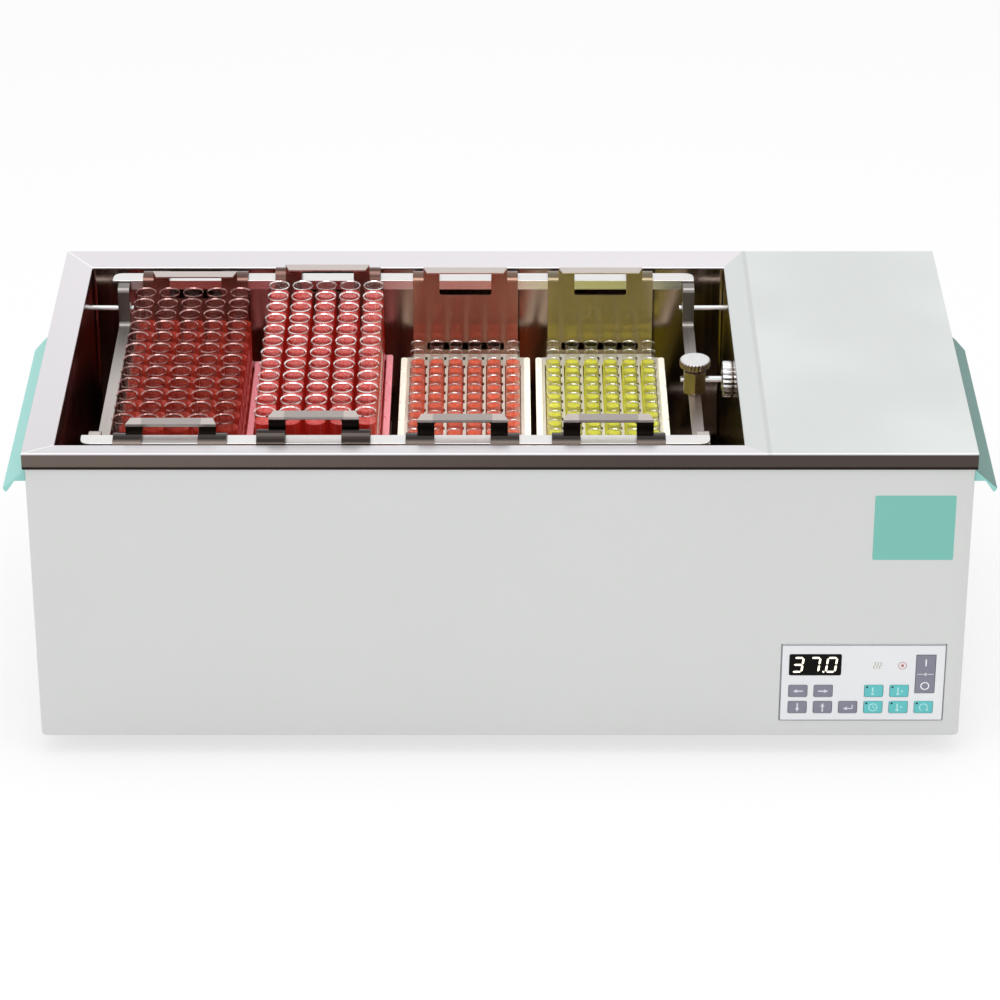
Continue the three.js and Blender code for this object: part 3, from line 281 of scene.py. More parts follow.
class Nodes:
    """The nodes of a material or of the world, each made by one method."""

    def __init__(self, tree, output):
        self.tree = tree
        self.tree.nodes.clear()
        self.surface = self.tree.nodes.new(output).inputs["Surface"]

    def feed(self, socket, value):
        if isinstance(value, Value):
            self.tree.links.new(value.socket, socket)
        else:
            socket.default_value = value

    def node(self, kind, settings=None, inputs=None, output=0):
        """Adds a node: its settings first, then its sockets' values or links."""
        made = self.tree.nodes.new(kind)
        for name, value in (settings or {}).items():
            setattr(made, name, value)
        for name, value in (inputs or {}).items():
            self.feed(made.inputs[name], value)
        return Value(self, made.outputs[output])

    def maths(self, operation, first, second=0.0):
        return self.node("ShaderNodeMath", {"operation": operation}, {0: first, 1: second})

    def sine(self, value):
        return self.maths("SINE", value)

    def size(self, value):
        """A value without its sign."""
        return self.maths("ABSOLUTE", value)

    def larger(self, first, second):
        return self.maths("MAXIMUM", first, second)

    def ray(self, kind):
        """1 where a ray is of the kind, such as one from the camera."""
        return self.node("ShaderNodeLightPath", output=kind)


class Finish(Nodes):
    """A material round one Principled shader, with what varies over the surface fed into it."""

    def __init__(self, name, colour, roughness, metallic=0.0, **fixed):
        self.material = bpy.data.materials.new(name)
        self.material.use_nodes = True
        super().__init__(self.material.node_tree, "ShaderNodeOutputMaterial")
        self.lit = self.node("ShaderNodeBsdfPrincipled")
        self.feed(self.surface, self.lit)
        self.colour = linear(colour)
        self.set("Base Color", self.colour)
        self.set("Roughness", roughness)
        self.set("Metallic", metallic)
        for name_of_socket, value in fixed.items():
            self.set(name_of_socket.replace("_", " "), value)
        self.place = self.node("ShaderNodeTexCoord", output="Object")
        split = self.node("ShaderNodeSeparateXYZ", inputs={0: self.place}).socket.node
        self.x, self.y, self.z = (Value(self, socket) for socket in split.outputs)

    def set(self, socket, value):
        """Feeds a value or a link to the shader."""
        self.feed(self.lit.socket.node.inputs[socket], value)

    def step(self, value, edge, width):
        """0 below the edge and 1 above it, with a soft change of the given width."""
        settings = {"interpolation_type": "SMOOTHSTEP"}
        inputs = {0: value, 1: edge - 0.5 * width, 2: edge + 0.5 * width}
        return self.node("ShaderNodeMapRange", settings, inputs)

    def noise(self, scale, detail=3.0, roughness=0.5):
        """Noise from 0 to 1 with its own number of waves per metre along each axis."""
        scale = scale if isinstance(scale, tuple) else (scale,) * 3
        stretched = self.node("ShaderNodeVectorMath", {"operation": "MULTIPLY"}, {0: self.place, 1: scale})
        inputs = {"Vector": stretched, "Scale": 1.0, "Detail": detail, "Roughness": roughness}
        return self.node("ShaderNodeTexNoise", inputs=inputs)

    def normal(self, axis):
        """The surface normal's part along X, Y or Z, numbered 0, 1 or 2."""
        normal = self.node("ShaderNodeNewGeometry", output="Normal")
        return self.node("ShaderNodeSeparateXYZ", inputs={0: normal}, output=axis)

    def mix(self, share, first, second):
        return self.node("ShaderNodeMix", {"data_type": "RGBA"}, {0: share, 6: first, 7: second}, output=2)

    def shade(self, share, dark, light):
        """The finish's colour between two brightnesses, by a share from 0 to 1."""
        first = [part * dark for part in self.colour[:3]] + [1.0]
        second = [part * light for part in self.colour[:3]] + [1.0]
        return self.mix(share, first, second)

    def bump(self, height, depth):
        """Feeds a relief of the given depth to the shader's normal."""
        self.set("Normal", self.node("ShaderNodeBump", inputs={"Height": height, "Distance": depth}))
        return self


GRAIN_DEPTH = 0.03 * MM
FILM_DEPTH = 0.01 * MM
INK_DEPTH = 0.005 * MM
RUBBER_DEPTH = 0.06 * MM
BRUSHED_DEPTH = 0.02 * MM
PEEL_DEPTH = 0.03 * MM
SATIN_DEPTH = 0.01 * MM
DRAWN_DEPTH = 0.05 * MM
ROLLED_DEPTH = 0.004 * MM
STREAKS = {"x": (9.0, 1400.0, 1400.0), "y": (1400.0, 9.0, 1400.0)}


def brushed(name, colour, roughness, grain, strength):
    """Steel brushed along one axis: long noise streaks move its colour, roughness and height."""
    finish = Finish(name, colour, roughness, 1.0)
    streak = finish.noise(STREAKS[grain], 2.0, 0.6)
    cloud = finish.noise(9.0, 2.0, 0.5)
    finish.set("Base Color", finish.shade(0.6 * streak + 0.4 * cloud, 1 - strength, 1 + 0.4 * strength))
    finish.set("Roughness", roughness + 0.16 * (streak - 0.5) + 0.1 * (cloud - 0.5))
    return finish.bump(streak, BRUSHED_DEPTH)


def moulded(name, colour, roughness, grain=1600.0, depth=GRAIN_DEPTH, **fixed):
    """Moulded plastic or rubber: a fine leather-like grain with slight clouds of colour and gloss."""
    finish = Finish(name, colour, roughness, **fixed)
    pebble = finish.noise(grain, 2.0, 0.5)
    cloud = finish.noise(14.0, 3.0, 0.5)
    finish.set("Base Color", finish.shade(0.75 * cloud + 0.25 * pebble, 0.94, 1.04))
    finish.set("Roughness", roughness + 0.12 * (pebble - 0.5) + 0.08 * (cloud - 0.5))
    return finish.bump(pebble, depth)


def painted(name, colour, roughness):
    """Powder coat on sheet steel: a soft orange-peel skin with faint clouds."""
    finish = Finish(name, colour, roughness, 0.0, Coat_Weight=0.15, Coat_Roughness=0.3)
    peel = finish.noise(420.0, 2.0, 0.5)
    cloud = finish.noise(6.0, 3.0, 0.5)
    finish.set("Base Color", finish.shade(cloud, 0.975, 1.015))
    finish.set("Roughness", roughness + 0.1 * (peel - 0.5))
    return finish.bump(peel, PEEL_DEPTH)


def machined(name, colour, roughness):
    """Turned or milled metal with a fine satin grain and slight clouds."""
    finish = Finish(name, colour, roughness, 1.0)
    satin = finish.noise(2600.0, 2.0, 0.6)
    cloud = finish.noise(60.0, 3.0, 0.5)
    finish.set("Base Color", finish.shade(0.4 * satin + 0.6 * cloud, 0.88, 1.06))
    finish.set("Roughness", roughness + 0.14 * (satin - 0.5) + 0.1 * (cloud - 0.5))
    return finish.bump(satin, SATIN_DEPTH)


BATH_LEFT = low("bath_tank")[0] + 7 * MM
BATH_RIGHT = high("bath_tank")[0] - 5.5 * MM
BATH_HALF_DEPTH = high("bath_tank")[1] - 5 * MM
COVER_FOLD = high("bath_tank")[0] + 12 * MM
RIM_RUN_RIGHT = 17 * MM
RIM_RUN_FRONT = 22 * MM
LIP_DEPTH = 1.0 * MM
LIP_SHADE = 2.4 * MM
FOLD_BLUR = 1.2 * MM


def deck_colour(finish, colours, streak, cloud):
    """The deck seen from above: the rim, painted brighter towards the rear and the right as light, with
    painted highlights along the mitres at its left corners, the slope beside the bath, whose edge runs out
    at the rim's own angle, and the cover, with a painted shade line where it bends towards the slope."""
    deck_low, deck_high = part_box("top_deck")
    across = finish.size(finish.y)
    cover = finish.step(finish.x, COVER_FOLD, 3 * MM)
    corner = (RIM_RUN_RIGHT / RIM_RUN_FRONT) * finish.larger(across - BATH_HALF_DEPTH, 0.0)
    slope = finish.step(finish.x - corner, BATH_RIGHT, FOLD_BLUR) * (1 - cover)
    # Painted shade: a darker line along the bend between the slope and the cover.
    fold_shade = 1 - finish.step(finish.size(finish.x - COVER_FOLD), 1.6 * MM, 2 * MM)
    # Painted light: the rim grows brighter towards the rear and the right, with random streaks and clouds
    # mixed in.
    rear_painted_light = finish.step(finish.y, 0.0, 320 * MM)
    right_painted_light = finish.step(finish.x, -80 * MM, 500 * MM)
    rim = finish.shade(0.35 * rear_painted_light + 0.35 * right_painted_light + 0.15 * streak + 0.15 * cloud, 0.86, 1.02)
    # Painted highlight: a white line along the mitres where the rim's slopes meet, at its left corners only.
    off_mitre_highlight = (finish.x - deck_low[0]) - (deck_high[1] - across)
    mitre_highlight = 1 - finish.step(finish.size(off_mitre_highlight), 0.7 * MM, 0.6 * MM)
    on_left = 1 - finish.step(finish.x, BATH_LEFT, 1 * MM)
    rim = finish.mix(mitre_highlight * on_left, rim, WHITE)
    soft = finish.step(cloud, 0.5, 0.4)
    patches = 0.7 * soft + 0.3 * streak
    plate = finish.mix(patches, linear(colours.deck_cover, 0.95), linear(colours.deck_cover, 1.02))
    top = finish.mix(slope, finish.mix(cover, rim, plate), linear(colours.deck_cover, 0.955))
    return finish.mix(0.8 * fold_shade, top, linear(colours.deck_cover, 0.9))


def deck_finish(colours):
    """Brushed deck: the rim is a faint lavender white and the cover over the drive a greener one, both with
    soft clouds. The lip of the folded edge all round is painted dark as a reflection of dark surroundings,
    lighter to the left, with a painted shade along its foot."""
    finish = Finish("deck_steel", colours.deck, 0.36, 1.0)
    streak = finish.noise((1500.0, 7.0, 1500.0), 2.0, 0.6)
    cloud = finish.noise(5.0, 2.0, 0.5)
    deck_low, deck_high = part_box("top_deck")
    sides = finish.step(finish.size(finish.x), deck_high[0] - LIP_DEPTH, 0.6 * MM)
    ends = finish.step(finish.size(finish.y), deck_high[1] - LIP_DEPTH, 0.6 * MM)
    below = 1 - finish.step(finish.z, deck_high[2] - FOLD_BLUR, FOLD_BLUR)
    lip = finish.larger(sides, ends) * below
    # Painted reflection: the lip is painted dark as a mirror of dark surroundings, lighter to the left.
    on_left = 1 - finish.step(finish.x, -100 * MM, 500 * MM)
    steel = finish.mix(on_left, linear(colours.deck_lip_reflection, 0.7), linear(colours.deck_lip_reflection))
    steel = finish.mix(0.4 * streak, steel, linear(colours.deck_lip_reflection, 0.6))
    # Painted shade: a dark band along the foot of the lip.
    above_foot = finish.step(finish.z, deck_low[2] + LIP_SHADE, 1 * MM)
    steel = finish.mix(above_foot, linear((0.16, 0.13, 0.12)), steel)
    finish.set("Base Color", finish.mix(lip, deck_colour(finish, colours, streak, cloud), steel))
    finish.set("Roughness", 0.34 + 0.14 * (streak - 0.5) + 0.1 * lip)
    return finish.bump(streak, SATIN_DEPTH)


def tank_finish(colours):
    """Mirror-polished tank steel of a brownish cast, with faint drawn streaks down the walls."""
    finish = Finish("tank_steel", colours.tank, 0.08, 1.0)
    streak = finish.noise((240.0, 240.0, 4.0), 3.0, 0.6)
    cloud = finish.noise(14.0, 3.0, 0.5)
    finish.set("Base Color", finish.shade(0.6 * streak + 0.4 * cloud, 0.7, 1.25))
    finish.set("Roughness", 0.09 + 0.16 * streak)
    return finish.bump(cloud, DRAWN_DEPTH)


def glass_finish(name, colour, bead):
    """Tube glass: a bright mirror that is nearly clear face on, stronger edge on, and brightest in patches
    of the bead at each rim. The attribute rim is 1 on that bead and below 0 across the mouth."""
    finish = Finish(name, colour, 0.05, 1.0)
    haze = finish.noise(110.0, 2.0, 0.5)
    rim = finish.node("ShaderNodeAttribute", {"attribute_name": "rim"}, output=2)
    edge_on = finish.node("ShaderNodeLayerWeight", inputs={"Blend": 0.2}, output=1)
    patchy = finish.step(haze, 0.5, 0.25)
    alpha = 0.025 + bead * (0.8 * edge_on + rim * (0.4 + 0.9 * patchy))
    finish.set("Alpha", finish.larger(alpha, 0.02))
    finish.set("Roughness", 0.04 + 0.08 * haze)
    return finish


def liquid_finish(name, colour, glow):
    """Coloured sample: glossy, with a faint painted glow in place of light passing through it, and slow
    clouds from tube to tube.
    """
    # Painted light: the emission makes the sample glow though no lamp is in it.
    finish = Finish(name, colour, 0.25, 0.0, Emission_Strength=glow)
    cloud = finish.noise((70.0, 70.0, 30.0), 2.0, 0.5)
    tone = finish.mix(cloud, linear(colour, 0.8), finish.shade(cloud, 0.95, 1.15))
    finish.set("Base Color", tone)
    finish.set("Emission Color", tone)
    finish.set("Roughness", 0.15 + 0.2 * cloud)
    return finish


# Pieces


def dress_deck(colours):
    """The folded cover and rim."""
    refined("top_deck", deck_finish(colours), edge=0.8 * MM, segments=3)


def dress_tank(colours):
    """The tank with its rounded corners."""
    refined("bath_tank", tank_finish(colours), edge=0.6 * MM, segments=3)


REAR_SCREW_PROFILE = MM * np.array([
    (3.2, -0.1), (3.2, 0.4), (2.8, 1.0), (1.9, 1.4), (1.3, 1.45), (1.1, 0.7), (0.2, 0.6),
])
REAR_SCREW_COLUMNS = 5
REAR_SCREW_INSET = (14 * MM, 9 * MM)


def screw_head():
    """A screw head turned about Y: a low dome whose profile drops inside its crown into a recess for the
    driver."""
    return loft(laid(lathe(REAR_SCREW_PROFILE, 24), "y"))


def rear_screws():
    """A row of screws along the rear panel's foot and one along its head, drawn in from its corners."""
    panel_low, panel_high = low("rear_panel"), high("rear_panel")
    inset_x, inset_z = REAR_SCREW_INSET
    columns = np.linspace(panel_low[0] + inset_x, panel_high[0] - inset_x, REAR_SCREW_COLUMNS)
    x, z = np.meshgrid(columns, [panel_low[2] + inset_z, panel_high[2] - inset_z])
    places = np.column_stack([x.ravel(), np.full(x.size, panel_high[1]), z.ravel()])
    heads = repeated(*screw_head(), places)
    put("rear_screws", heads, machined("screw_zinc", (0.80, 0.80, 0.81), 0.3), "housing")


def dress_casing(colours):
    """Casing, rear panel and base, the plain patch on the front and the rear screws."""
    casing = painted("casing_paint", colours.casing, 0.5)
    refined("outer_casing", casing, edge=0.5 * MM)
    refined("rear_panel", casing, edge=0.3 * MM)
    refined("base_plate", brushed("base_sheet", (0.62, 0.63, 0.64), 0.5, "x", 0.08))
    film = moulded("patch_film", colours.patch, 0.42, 900.0, FILM_DEPTH)
    put("front_patch", patch_shape(), film, "housing")
    rear_screws()


def stacked(half_x, half_y, radius, rows, steps):
    """Rounded rectangles one above the other: each row gives how far it is drawn in, and its height."""
    rings = []
    for inset, height in rows:
        loop = rounded_loop(half_x - inset, half_y - inset, radius, steps)
        rings.append(np.column_stack([loop, np.full(len(loop), height)]))
    return np.array(rings)


PATCH_PLACE = (high("outer_casing")[0] - 42.7 * MM, low("outer_casing")[2] + 180.2 * MM)
PATCH_SIZE = (59.8 * MM, 54.2 * MM)
PATCH_PROUD = 0.15 * MM
PATCH_RADIUS = 1.2 * MM


def patch_shape():
    """A thin rounded rectangle on the casing's front, drawn in at its face."""
    edge = 0.4 * PATCH_PROUD
    rows = [(0.0, -0.02 * MM), (0.0, PATCH_PROUD - edge), (edge, PATCH_PROUD)]
    rings = stacked(0.5 * PATCH_SIZE[0], 0.5 * PATCH_SIZE[1], PATCH_RADIUS, rows, 5)
    points, faces = loft(laid(rings, "-y"))
    return points + [PATCH_PLACE[0], low("outer_casing")[1], PATCH_PLACE[1]], faces


def grip_finish(name, colour, above):
    """Pale grip plastic whose upper faces take a second colour, given as painted shade."""
    finish = moulded(name, colour, 0.42)
    pebble = finish.noise(1600.0, 2.0, 0.5)
    tone = finish.mix(pebble, linear(above, 0.97), linear(above))
    # Painted shade: faces that look up take the given shade colour.
    shaded_top = finish.step(finish.normal(2), 0.25, 0.3)
    finish.set("Base Color", finish.mix(shaded_top, finish.shade(pebble, 0.97, 1.02), tone))
    return finish


def dress_grips(colours):
    """The two grips: the upper face of the right one is painted darker as shade."""
    left = grip_finish("left_grip_plastic", colours.grip, colours.grip)
    right = grip_finish("right_grip_plastic", colours.grip, colours.grip_top_painted_shade)
    refined("left_grip", left, edge=1.0 * MM, segments=3)
    refined("right_grip", right, edge=1.0 * MM, segments=3)


FOOT_RECESS = 4 * MM
FOOT_EDGE = 1 * MM


def dress_feet():
    """Feet: a turned profile of radius and height that widens upwards, with a rounded foot and a recess for
    its screw."""
    rubber = moulded("foot_rubber", (0.13, 0.13, 0.14), 0.8, 900.0, RUBBER_DEPTH)
    for corner in ("front_left", "front_right", "rear_left", "rear_right"):
        node = "foot_" + corner
        centre, top = middle(node), high(node)[2]
        outer = 0.5 * (high(node) - low(node))[0]
        profile = [
            (0.25 * outer, FOOT_RECESS), (0.3 * outer, 0.1 * FOOT_RECESS), (0.36 * outer, 0),
            (0.72 * outer, 0), (0.78 * outer, 0.3 * FOOT_EDGE), (0.8 * outer, FOOT_EDGE),
            (0.97 * outer, top - 3 * FOOT_EDGE), (outer, top - 2 * FOOT_EDGE),
            (outer, top - 0.4 * FOOT_EDGE), (0.97 * outer, top),
        ]
        points, faces = loft(lathe(profile, 48))
        shape = (points + [centre[0], centre[1], 0], faces)
        put(node + "_rubber", shape, rubber, "housing", slot_of(node), [node])


def ribbon(path, width, closed=False):
    """A stroke of even width along a path in X and Z: each point plus and minus half the width along the
    normal of the line between its neighbours."""
    path = np.asarray(path, float)
    if closed:
        along = np.roll(path, -1, 0) - np.roll(path, 1, 0)
    else:
        along = np.gradient(path, axis=0)
    along /= np.linalg.norm(along, axis=1)[:, None]
    side = 0.5 * width * np.stack([-along[:, 1], along[:, 0]], -1)
    left, right = path + side, path - side
    count = len(path)
    faces = grid_faces(2, count, closed).tolist()
    return np.concatenate([left, right]), faces


def anticlockwise(points, corners):
    """A face's corners in the order whose sum of x times next z, less next x times z, is positive."""
    x, z = points[corners].T
    area = (x * np.roll(z, -1) - np.roll(x, -1) * z).sum()
    return list(corners) if area > 0 else list(corners)[::-1]


def raised(parts, face, proud):
    """Flat signs on a face that looks towards -Y: each part's points as a front and a back layer, its faces
    on both, and a wall behind every edge that belongs to one face only."""
    solids = []
    for points, faces in parts:
        count = len(points)
        front = np.column_stack([points[:, 0], np.full(count, face - proud), points[:, 1]])
        faces = [anticlockwise(points, corners) for corners in faces]
        edges = {edge for corners in faces for edge in zip(corners, corners[1:] + corners[:1])}
        rim = [(first, last) for first, last in sorted(edges) if (last, first) not in edges]
        back = [[count + number for number in corners[::-1]] for corners in faces]
        walls = [[last, first, count + first, count + last] for first, last in rim]
        solids.append((np.concatenate([front, front + [0, proud, 0]]), faces + back + walls))
    return combined(solids)


def polygon(points):
    """One flat face through all the points."""
    return np.asarray(points, float), [list(range(len(points)))]


def circle_path(radius, start=0.0, stop=TURN, steps=28):
    """Points of an arc: the radius times the cosine and the sine of even turns."""
    angle = np.linspace(start, stop, steps, endpoint=stop - start < TURN - 1e-9)
    return np.stack([radius * np.cos(angle), radius * np.sin(angle)], -1)


def arrow(direction, length=7.6 * MM, width=1.1 * MM, head=3.2 * MM):
    """A shaft and a triangular head, drawn to the right and then turned by the cosine and sine of the
    direction."""
    neck = 0.5 * length - head
    shaft = ribbon([(-0.5 * length, 0), (neck, 0)], width)
    tip = polygon([(neck, -0.5 * head), (0.5 * length, 0), (neck, 0.5 * head)])
    cosine, sine = math.cos(direction), math.sin(direction)
    turn = np.array([[cosine, sine], [-sine, cosine]])
    return [(points @ turn, faces) for points, faces in (shaft, tip)]


def enter_sign():
    """A stem that runs down into an arrow to the left."""
    stem = ribbon([(3.4 * MM, 2.2 * MM), (3.4 * MM, -1.0 * MM)], 0.9 * MM)
    shaft = ribbon([(3.85 * MM, -1.0 * MM), (-0.6 * MM, -1.0 * MM)], 0.9 * MM)
    tip = polygon([(-0.6 * MM, 0.6 * MM), (-3.6 * MM, -1.0 * MM), (-0.6 * MM, -2.6 * MM)])
    return [stem, shaft, tip]


def thermometer_sign(mark):
    """A bulb with a stem, and beside it a triangle that points up for a mark of 1 and down for -1."""
    bulb = polygon(circle_path(1.25 * MM, steps=20) + np.array([-0.8 * MM, -2.3 * MM]))
    stem = ribbon([(-0.8 * MM, -1.6 * MM), (-0.8 * MM, 3.2 * MM)], 1.1 * MM)
    if not mark:
        return [bulb, stem]
    tip = 1.7 * MM * mark
    corners = [(1.3 * MM, -0.5 * tip), (3.1 * MM, -0.5 * tip), (2.2 * MM, 0.7 * tip)]
    return [bulb, stem, polygon(corners[::mark])]


def clock_sign():
    """A ring with two hands."""
    ring = ribbon(circle_path(3.1 * MM), 0.7 * MM, closed=True)
    hands = ribbon([(0, 2.0 * MM), (0, 0), (1.5 * MM, -0.9 * MM)], 0.6 * MM)
    return [ring, hands]


def shake_sign():
    """Most of a circle with an arrowhead at its end."""
    arc = ribbon(circle_path(3.0 * MM, -0.15 * math.pi, 1.35 * math.pi), 0.7 * MM)
    tip = polygon([(1.3 * MM, -2.6 * MM), (3.9 * MM, -2.9 * MM), (3.1 * MM, -0.6 * MM)])
    return [arc, tip]


def heat_sign():
    """Three upright waves side by side, each moved by the sine of its height."""
    rise = np.linspace(-2.8 * MM, 3.2 * MM, 18)
    wave = 0.7 * MM * np.sin(rise / (3.0 * MM) * math.pi)
    return [ribbon(np.stack([wave + shift, rise], -1), 0.5 * MM) for shift in (-2.2 * MM, 0.0, 2.2 * MM)]


def lamp_sign():
    """A ring with a dot in its middle."""
    ring = ribbon(circle_path(3.0 * MM), 0.45 * MM, closed=True)
    return [ring, polygon(circle_path(1.2 * MM, steps=18))]


SIGNS = {
    "key_left": arrow(math.pi),
    "key_right": arrow(0.0),
    "key_down": arrow(-QUARTER),
    "key_up": arrow(QUARTER),
    "key_enter": enter_sign(),
    "key_temperature": thermometer_sign(0),
    "key_warning_high": thermometer_sign(1),
    "key_warning_low": thermometer_sign(-1),
    "key_timer": clock_sign(),
    "key_shake": shake_sign(),
}


KEY_CROWN = 0.35 * MM
KEY_INSET = 0.8 * MM
KEY_RADIUS = 1.4 * MM
SIGN_PROUD = 0.05 * MM
KEY_LAMP_PLACE = (1.9 * MM, -1.7 * MM)
KEY_LAMP_RADIUS = 0.85 * MM


def key_cap(node):
    """A key: rounded rectangles from its foot to a crowned front, drawn in by one minus the cosine of a turn
    while the height grows with its sine."""
    half = 0.5 * (high(node) - low(node))
    crown_foot = 2 * half[1] - KEY_CROWN
    rows = [(0.0, 0.0), (0.0, crown_foot)]
    for turn in (0.5, 1.0, QUARTER):
        rows.append((KEY_INSET * (1 - math.cos(turn)), crown_foot + KEY_CROWN * math.sin(turn)))
    points, faces = loft(laid(stacked(half[0], half[2], KEY_RADIUS, rows, 6), "-y"))
    return points + middle(node) + [0, half[1], 0], faces


def moved_sign(parts, x, z):
    """A sign's parts, each moved to its place on the front."""
    return [(points + np.array([x, z]), faces) for points, faces in parts]


def ink(name, colour):
    """Printed ink: a flat film with a very fine grain."""
    return moulded(name, colour, 0.5, 1400.0, INK_DEPTH)


def put_sign(name, parts, face, finish, body, proud=SIGN_PROUD):
    """Puts a flat sign on a face that looks towards -Y."""
    return put(name, raised(parts, face, proud), finish, body, smooth=False)


def dress_keys(colours):
    """Crowned caps with their signs, and a small lamp in the upper left corner of each teal key."""
    films = {
        "grey_key": moulded("grey_key_film", colours.grey_key, 0.42, 1400.0, FILM_DEPTH),
        "teal_key": moulded("teal_key_film", colours.teal_key, 0.42, 1400.0, FILM_DEPTH),
    }
    inks = {
        "grey_key": ink("pale_sign_ink", (0.84, 0.85, 0.88)),
        "teal_key": ink("teal_sign_ink", (0.70, 0.90, 0.90)),
    }
    lamp = moulded("key_lamp", (0.10, 0.16, 0.18), 0.25, 900.0, INK_DEPTH)
    for node, sign in SIGNS.items():
        slot, body = slot_of(node), body_of(node)
        put(node + "_cap", key_cap(node), films[slot], body, slot, [node])
        centre, face = middle(node), low(node)[1]
        put_sign(node + "_sign", moved_sign(sign, centre[0], centre[2]), face, inks[slot], body)
        if slot == "teal_key":
            dot = polygon(circle_path(KEY_LAMP_RADIUS, steps=16))
            spot = moved_sign([dot], low(node)[0] + KEY_LAMP_PLACE[0], high(node)[2] + KEY_LAMP_PLACE[1])
            put_sign(node + "_lamp", spot, face, lamp, body, 0.06 * MM)


DIGIT_SEGMENTS = {"3": "abgcd", "7": "abc", "0": "abcdef"}


def segment(first, last, width):
    """One bar of a digit: a hexagon round the line between two corners, drawn in from both."""
    first, last = np.array(first, float), np.array(last, float)
    along = (last - first) / np.linalg.norm(last - first)
    side = np.array([-along[1], along[0]]) * 0.5 * width
    gap = along * 0.25 * width
    start, stop = first + gap, last - gap
    inner = along * 0.5 * width
    upper = [stop - inner + side, start + inner + side]
    return polygon([start, start + inner - side, stop - inner - side, stop, *upper])


def digit(character, width=6.8 * MM, height=12.2 * MM, bar=1.55 * MM, slant=0.12):
    """The lit bars of a digit, named a to g round it, moved right by the slant times their height."""
    half = 0.5 * height
    corners = {
        "a": ((0, height), (width, height)),
        "b": ((width, height), (width, half)),
        "c": ((width, half), (width, 0)),
        "d": ((0, 0), (width, 0)),
        "e": ((0, half), (0, 0)),
        "f": ((0, height), (0, half)),
        "g": ((0, half), (width, half)),
    }
    parts = []
    for name in DIGIT_SEGMENTS[character]:
        points, faces = segment(*corners[name], bar)
        points[:, 0] += slant * points[:, 1]
        parts.append((points, faces))
    return parts


DIGIT_PITCH = 12.6 * MM
DIGIT_PLACE = (2.3 * MM, 3.1 * MM)
POINT_SHARE = 1.86
POINT_RADIUS = 0.8 * MM
BORDER_INSET = 0.35 * MM
BORDER_WIDTH = 0.45 * MM
BORDER_RADIUS = 1.2 * MM
HEAT_SIGN_PLACE = (72.5 * MM, 48.4 * MM)
LAMP_SIGN_PLACE = (91.3 * MM, 48.4 * MM)
PRINT_PROUD = 0.04 * MM


def dress_display():
    """Dark display glass, and on it a number of lit bars with a point after its second digit."""
    glass = Finish("display_glass", (0.05, 0.05, 0.045), 0.2, 0.0, Specular_IOR_Level=0.08)
    smear = glass.noise(60.0, 2.0, 0.5)
    glass.set("Roughness", 0.15 + 0.15 * smear)
    glass.set("Base Color", glass.shade(smear, 0.8, 1.3))
    refined("display_window", glass, edge=0.4 * MM)
    light = linear((1.0, 0.96, 0.86))
    lit = Finish("display_digits", (1.0, 0.97, 0.88), 0.4, Emission_Color=light, Emission_Strength=1.0)
    lit.set("Base Color", lit.shade(lit.noise(400.0, 1.0, 0.5), 0.95, 1.0))
    corner = low("display_window")
    start_x, start_z = corner[0] + DIGIT_PLACE[0], corner[2] + DIGIT_PLACE[1]
    parts = []
    for place, character in enumerate("370"):
        parts += moved_sign(digit(character), start_x + place * DIGIT_PITCH, start_z)
    point = polygon(circle_path(POINT_RADIUS, steps=16))
    parts += moved_sign([point], start_x + POINT_SHARE * DIGIT_PITCH, start_z)
    put_sign("display_number", parts, corner[1], lit, "housing")


def print_on_panel(name, parts, place, colour):
    """Prints a sign on the keypad plate in an ink of its own, placed from the plate's lower left corner."""
    corner = low("control_panel")
    parts = moved_sign(parts, corner[0] + place[0], corner[2] + place[1])
    put_sign(name, parts, corner[1], ink(name + "_ink", colour), "housing", PRINT_PROUD)


def dress_panel(colours):
    """Keypad plate and its display, with a printed border and the signs for heat and for a warning."""
    refined("control_panel", moulded("panel_film", colours.panel, 0.45, 1500.0, FILM_DEPTH), edge=0.25 * MM)
    dress_display()
    half = 0.5 * (high("control_panel") - low("control_panel"))[[0, 2]]
    loop = rounded_loop(*(half - BORDER_INSET), BORDER_RADIUS, 6)
    border = [ribbon(loop, BORDER_WIDTH, closed=True)]
    print_on_panel("panel_outline", border, half, (0.30, 0.31, 0.36))
    print_on_panel("heat_sign", heat_sign(), HEAT_SIGN_PLACE, (0.62, 0.60, 0.40))
    print_on_panel("lamp_sign", lamp_sign(), LAMP_SIGN_PLACE, (0.70, 0.38, 0.38))


def dress_rocker(colours):
    """Rocker with a bar above, a ring below and a dotted line across its middle."""
    plastic = moulded("rocker_plastic", colours.grey_key, 0.4, 1400.0, FILM_DEPTH)
    refined("power_rocker", plastic, edge=0.5 * MM)
    centre = middle("power_rocker")
    bar = ribbon([(0, 7.0 * MM), (0, 13.0 * MM)], 1.0 * MM)
    ring = ribbon(circle_path(3.0 * MM) - np.array([0, 10.3 * MM]), 0.9 * MM, closed=True)
    line = ribbon([(-6.2 * MM, 0), (6.2 * MM, 0)], 0.5 * MM)
    dot = polygon(circle_path(1.2 * MM, steps=18))
    signs = moved_sign([bar, ring, line, dot], centre[0], centre[2])
    put_sign("rocker_signs", signs, low("power_rocker")[1], ink("rocker_ink", (0.93, 0.94, 0.95)), "rocker")


def strap_finish(colours):
    """Brushed strap steel that darkens from the bath's middle towards the rear, where it stands in the
    shade."""
    finish = brushed("strap_steel", colours.strap, 0.34, "y", 0.35)
    streak = finish.noise(STREAKS["y"], 2.0, 0.6)
    shade = finish.step(finish.y, 50 * MM, 120 * MM)
    lit = finish.shade(streak, 0.75, 1.12)
    shaded = finish.shade(streak, 0.32, 0.55)
    finish.set("Base Color", finish.mix(shade, lit, shaded))
    return finish


